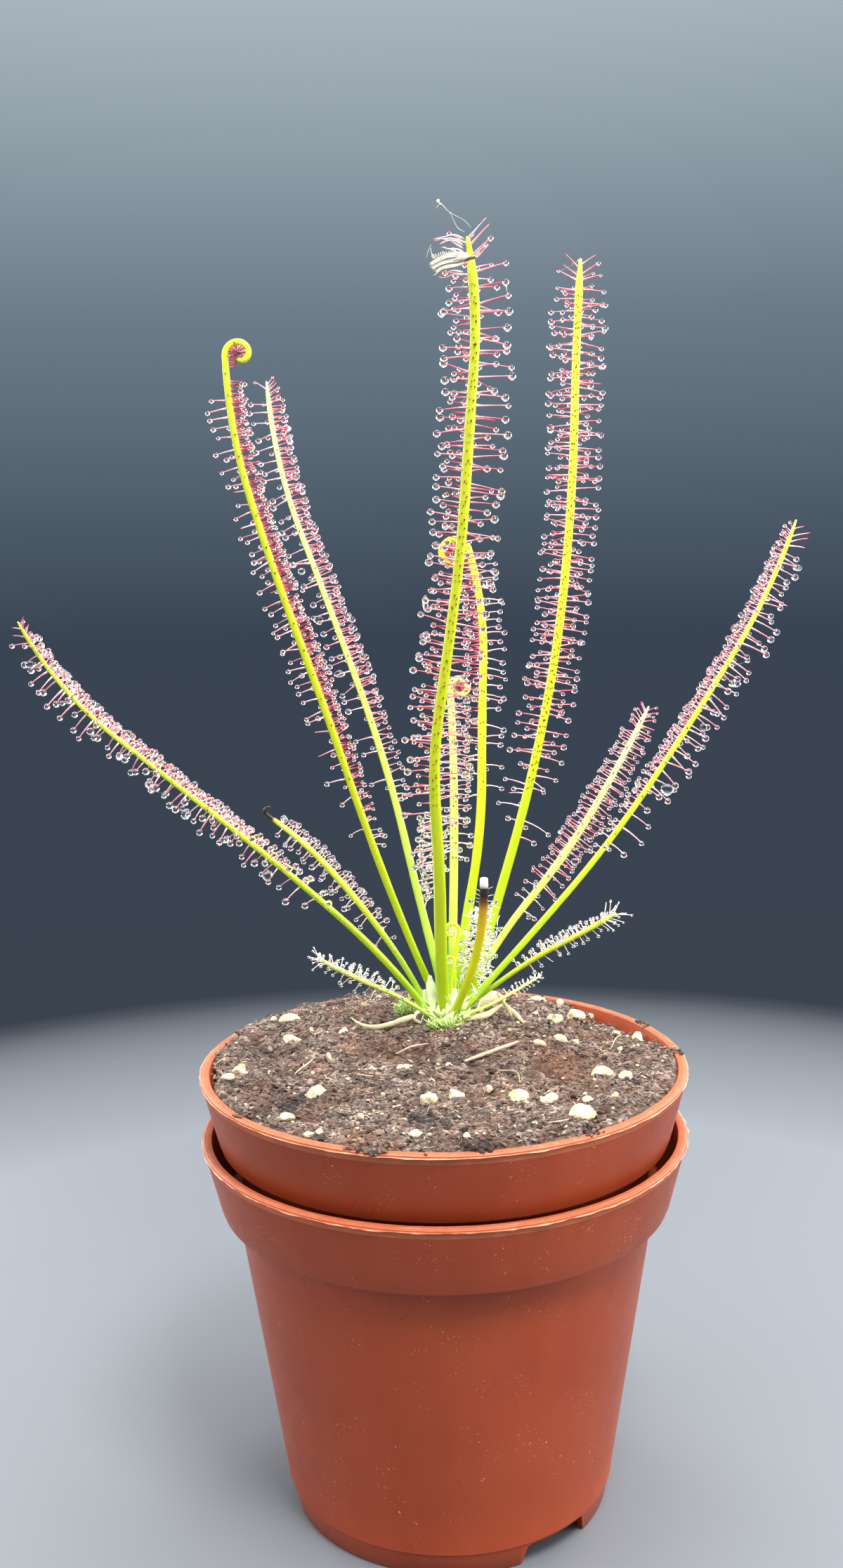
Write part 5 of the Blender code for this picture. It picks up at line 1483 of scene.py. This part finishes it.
def make_insect(material):
    """The dry insect near the top of the middle leaf: a husk, folded wings, legs and threads."""
    low, high = (np.array(c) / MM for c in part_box("caught_insect"))
    centre = (low + high) / 2
    shape = Shape()

    def strand(points, widths, flat=1.0, tone=0.6, sides=7, count=20, first=(0.0, 0.0, 1.0), seed=110):
        path = smooth_path([centre + np.array(p) for p in points], count)
        path = path + 0.06 * np.stack([lumps(path, 0.9, seed + k) for k in range(3)], -1)
        share = np.linspace(0, 1, count)
        wide = np.interp(share, np.linspace(0, 1, len(widths)), widths) / 2
        wide = wide * (1 + 0.15 * lumps(path, 0.5, seed + 5))
        wide[0] = wide[-1] = 0
        tubes(shape, path[None], wide[None], sides, tone, first=first, flat=flat)

    strand(((3.8, 0.0, 0.6), (2.6, 0.0, 0.5), (0.8, 0.0, 0.2), (-1.2, 0.1, -0.4)),
           (0.5, 0.9, 1.3, 1.0, 0.4), 0.7, 0.35)
    strand(((3.8, -0.25, 0.55), (3.0, -0.25, 0.45), (2.0, -0.2, 0.1)), (0.3, 0.6, 0.5), 0.8, -0.9)
    for k in range(HUSK_BLADES):
        fall = k / (HUSK_BLADES - 1)
        sway = 0.3 * math.sin(2.7 * k)
        strand(((2.7 - 0.7 * fall, 0.05 + sway, 1.2 - 1.4 * fall),
                (0.8, 0.1 + sway, 1.3 - 1.9 * fall),
                (-1.4, 0.05 + sway, 0.9 - 2.0 * fall),
                (-3.8 + 1.3 * fall ** 2, sway, -0.3 - 1.5 * fall)),
               (0.15, 0.5, 0.6, 0.5, 0.3, 0.12), 0.3, 0.3 + 0.85 * ((k * 0.618) % 1),
               first=(0.1, 0.4, 1.0), seed=120 + 7 * k)
    for k in range(12):
        x, z = -2.9 + 0.34 * k, 0.35 + 0.08 * k
        strand(((x, 0.0, z), (x - 0.3, -0.1, z + 0.4), (x - 0.4 + 0.2 * math.sin(5.0 * k), -0.1, z + 0.8)),
               (0.1, 0.16, 0.06), 1.0, 1.0, sides=4, count=8, seed=260 + 3 * k)
    legs = (
        ((-2.6, 0.0, 0.3), (-3.2, -0.2, 1.0), (-3.4, -0.2, 2.2)),
        ((-2.0, 0.0, -0.9), (-2.6, -0.2, -1.9), (-3.2, -0.2, -2.2)),
        ((1.2, 0.0, 1.2), (-0.4, -0.3, 1.9), (-1.8, -0.3, 2.2)),
        ((2.8, 0.0, 0.9), (3.8, -0.4, 0.7), (4.6, -0.4, 1.3)),
    )
    for k, leg in enumerate(legs):
        strand(leg, (0.12, 0.14, 0.1, 0.06), 1.0, 0.8, sides=4, count=12, seed=150 + 3 * k)
    web = (
        ((2.2, 0.9, 4.6), (0.9, 0.6, 5.4), (0.0, 0.4, 7.2), (-0.6, 0.3, 7.9)),
        ((-2.7, 0.0, 8.0), (-1.7, 0.1, 8.9), (-0.6, 0.3, 7.9), (0.7, 0.4, 7.1), (2.2, 0.5, 6.3),
         (3.3, 0.6, 5.0)),
        ((-3.4, -0.2, 2.6), (-3.9, 0.0, 1.4), (-4.2, 0.0, 0.6)),
    )
    for k, line in enumerate(web):
        strand(line, (0.05, 0.08, 0.05, 0.04), 1.0, 1.0, sides=4, count=16, seed=170 + 3 * k)
    balls(shape, [centre + (-2.1, 0.0, 9.3), centre + (-1.8, 0.1, 8.9)], [(0, 0, 1), (1, 0, 0)],
          (0.26, 0.16), (0.34, 0.24), tone=np.array([1.0, 1.0]), rough=0.2)
    piece("insect_husk", shape.mesh("insect_husk"), material, "insect", "caught_insect")
    bent = Shape()
    steps = np.array([0, 1.3, 1.0, 0.8, 0.7, 0.7, 0.9, 0])
    for k, points in enumerate(BENT_STALKS):
        path = smooth_path([centre + np.array(p) for p in points], len(steps))
        path = path + 0.08 * lumps(path, 1.2, 400 + k)[:, None]
        tubes(bent, path[None], 0.13 * steps[None], 5, np.linspace(0.12, 0.62, len(steps))[None])
    piece("insect_stalks", bent.mesh("insect_stalks"), stalk_skin, "tentacle")


def make_floor():
    """A round, plain, pale floor that fades out towards its edge."""
    made = Finish("pale_floor", 0.6)
    made.colour(made.ramp(made.noise(400.0, 2.0), (0.3, (0.145, 0.155, 0.168)), (0.7, (0.16, 0.17, 0.185))))
    apart = made.value("ShaderNodeVectorMath", {0: made.place}, "Value", operation="LENGTH")
    solid = made.value("ShaderNodeMapRange", {"Value": apart, "From Min": 0.19, "From Max": 0.33,
                                              "To Min": 1.0, "To Max": 0.0})
    made.links.new(solid, made.shader.inputs["Alpha"])
    shape = Shape()
    profile = [(0.0, 0.0)] + [(r, 0.0) for r in (80.0, 200.0, 340.0, 520.0)]
    profile += [(520.0, -4.0), (0.0, -4.0)]
    turned(shape, profile, 96)
    mesh = shape.mesh("floor", smooth=False)
    mesh.materials.append(made.material)
    floor = bpy.data.objects.new("floor", mesh)
    bpy.context.scene.collection.objects.link(floor)


def make_world():
    """A plain surround: slate grey at the height of the eye, bright above."""
    world = bpy.data.worlds.new("studio")
    bpy.context.scene.world = world
    world.use_nodes = True
    nodes, links = world.node_tree.nodes, world.node_tree.links
    place = nodes.new("ShaderNodeTexCoord")
    split = nodes.new("ShaderNodeSeparateXYZ")
    ramp = nodes.new("ShaderNodeValToRGB")
    spread = nodes.new("ShaderNodeMapRange")
    links.new(place.outputs["Generated"], split.inputs["Vector"])
    links.new(split.outputs["Z"], spread.inputs["Value"])
    spread.inputs["From Min"].default_value = -1.0
    links.new(spread.outputs["Result"], ramp.inputs["Fac"])
    stops = ((0.0, (0.2, 0.21, 0.23)), (0.3, (0.045, 0.056, 0.075)), (0.47, (0.042, 0.058, 0.085)),
             (0.503, (0.07, 0.098, 0.133)), (0.568, (0.15, 0.2, 0.25)), (0.6, (0.23, 0.29, 0.34)),
             (0.65, (0.38, 0.45, 0.5)), (0.86, (1.1, 1.15, 1.2)))
    points = ramp.color_ramp.elements
    while len(points) < len(stops):
        points.new(0.5)
    for point, (where, colour) in zip(points, stops):
        point.position, point.color = where, (*colour, 1.0)
    links.new(ramp.outputs["Color"], nodes["Background"].inputs["Color"])
    nodes["Background"].inputs["Strength"].default_value = 1.0


def soft_light(name, place, size, power, colour=(1.0, 1.0, 1.0)):
    """A soft square light that looks at the plant."""
    data = bpy.data.lights.new(name, "AREA")
    data.shape, data.size, data.energy, data.color = "SQUARE", size * MM, power, colour
    light = bpy.data.objects.new(name, data)
    bpy.context.scene.collection.objects.link(light)
    light.location = Vector(place) * MM
    light.rotation_euler = (Vector((0, 0, 110)) - Vector(place)).to_track_quat("-Z", "Y").to_euler()
    light.visible_camera = False


# The camera in the photograph: where it stands, and its pitch, yaw and roll in radians
CAMERA_PLACE = (-0.851, -272.84, 180.51)
CAMERA_PITCH, CAMERA_YAW, CAMERA_ROLL = 0.160637, -0.0081925, -0.0186519
FOCAL_PIXELS, FRAME_HEIGHT_PIXELS, SENSOR = 2173.5, 2233, 36.0


def make_camera():
    """The camera at the photograph's place and angle."""
    data = bpy.data.cameras.new("camera")
    data.sensor_width = SENSOR
    data.lens = FOCAL_PIXELS / FRAME_HEIGHT_PIXELS * SENSOR
    data.clip_start, data.clip_end = 0.01, 20.0
    camera = bpy.data.objects.new("camera", data)
    bpy.context.scene.collection.objects.link(camera)
    cp, sp = math.cos(CAMERA_PITCH), math.sin(CAMERA_PITCH)
    cy, sy = math.cos(CAMERA_YAW), math.sin(CAMERA_YAW)
    ahead = Vector((sy * cp, cy * cp, -sp))
    right = Vector((cy, -sy, 0.0))
    up = right.cross(ahead)
    cr, sr = math.cos(CAMERA_ROLL), math.sin(CAMERA_ROLL)
    axes = Matrix((cr * right + sr * up, cr * up - sr * right, -ahead)).transposed()
    camera.matrix_world = Matrix.Translation(Vector(CAMERA_PLACE) * MM) @ axes.to_4x4()
    bpy.context.scene.camera = camera


make_camera()
pot_materials = (plastic(), lip_plastic_with_painted_light())
make_pot("pot_outer", "outer_pot", 0.0, 1, pot_materials)
make_pot("pot_inner", "inner_pot", INNER_POT_TURN, 2, pot_materials)
make_soil(peat("peat_surface", True))
loose_peat = peat("peat_bits", False)
make_fibres(loose_peat)
make_crumbs(loose_peat)
make_grains(pumice())
leaf_skins = {
    "leaf_yellow": leaf_skin("leaf_yellow_skin", (0.4, 0.56, 0.006), (0.64, 0.7, 0.016), (0.76, 0.81, 0.05)),
    "leaf_green": leaf_skin("leaf_green_skin", (0.38, 0.6, 0.02), (0.6, 0.74, 0.035), (0.76, 0.8, 0.09)),
    "leaf_pale": leaf_skin("leaf_pale_skin", (0.44, 0.66, 0.06), (0.66, 0.78, 0.13), (0.8, 0.82, 0.3)),
    "leaf_withered": leaf_skin("leaf_withered_skin", (0.42, 0.56, 0.008), (0.64, 0.66, 0.01), (0.72, 0.62, 0.015)),
}
blades = {leaf.name: Blade(leaf) for leaf in LEAVES}
stalk_skin, clear_dew = tentacle_skin(), dew()
for blade in blades.values():
    make_blade(blade, leaf_skins[blade.leaf.slot])
    make_tentacles(blade, stalk_skin, clear_dew)
make_crown(dry_fibre("crown_skin", (0.34, 0.46, 0.04), (0.66, 0.74, 0.25), 0.5),
           dry_fibre("pale_scale", (0.5, 0.7, 0.1), (0.86, 0.92, 0.6), 0.35),
           dry_fibre("white_wool", (0.7, 0.72, 0.6), (0.9, 0.9, 0.84), 0.7))
make_moss(dry_fibre("moss_leaf", (0.06, 0.16, 0.02), (0.5, 0.68, 0.2), 0.55))
make_dead_leaves(dry_fibre("straw_leaf", (0.55, 0.43, 0.16), (0.84, 0.78, 0.45), 0.65))
make_twigs(dry_fibre("stick_bark", (0.16, 0.1, 0.06), (0.55, 0.4, 0.28), 0.75))
make_insect(dry_fibre("dry_husk", (0.12, 0.1, 0.06), (0.84, 0.77, 0.62), 0.7))
make_floor()
make_world()
soft_light("top_light", (40, 40, 660), 420, 3.2)
soft_light("key_light", (150, -330, 700), 200, 6.5)
soft_light("right_light", (570, -120, 260), 340, 2.2)
soft_light("left_light", (-570, -120, 260), 340, 1.3)
soft_light("right_rim_light", (430, 420, 300), 300, 2.3)
soft_light("left_rim_light", (-430, 420, 300), 300, 2.3)
bpy.context.scene.view_settings.view_transform = "Standard"
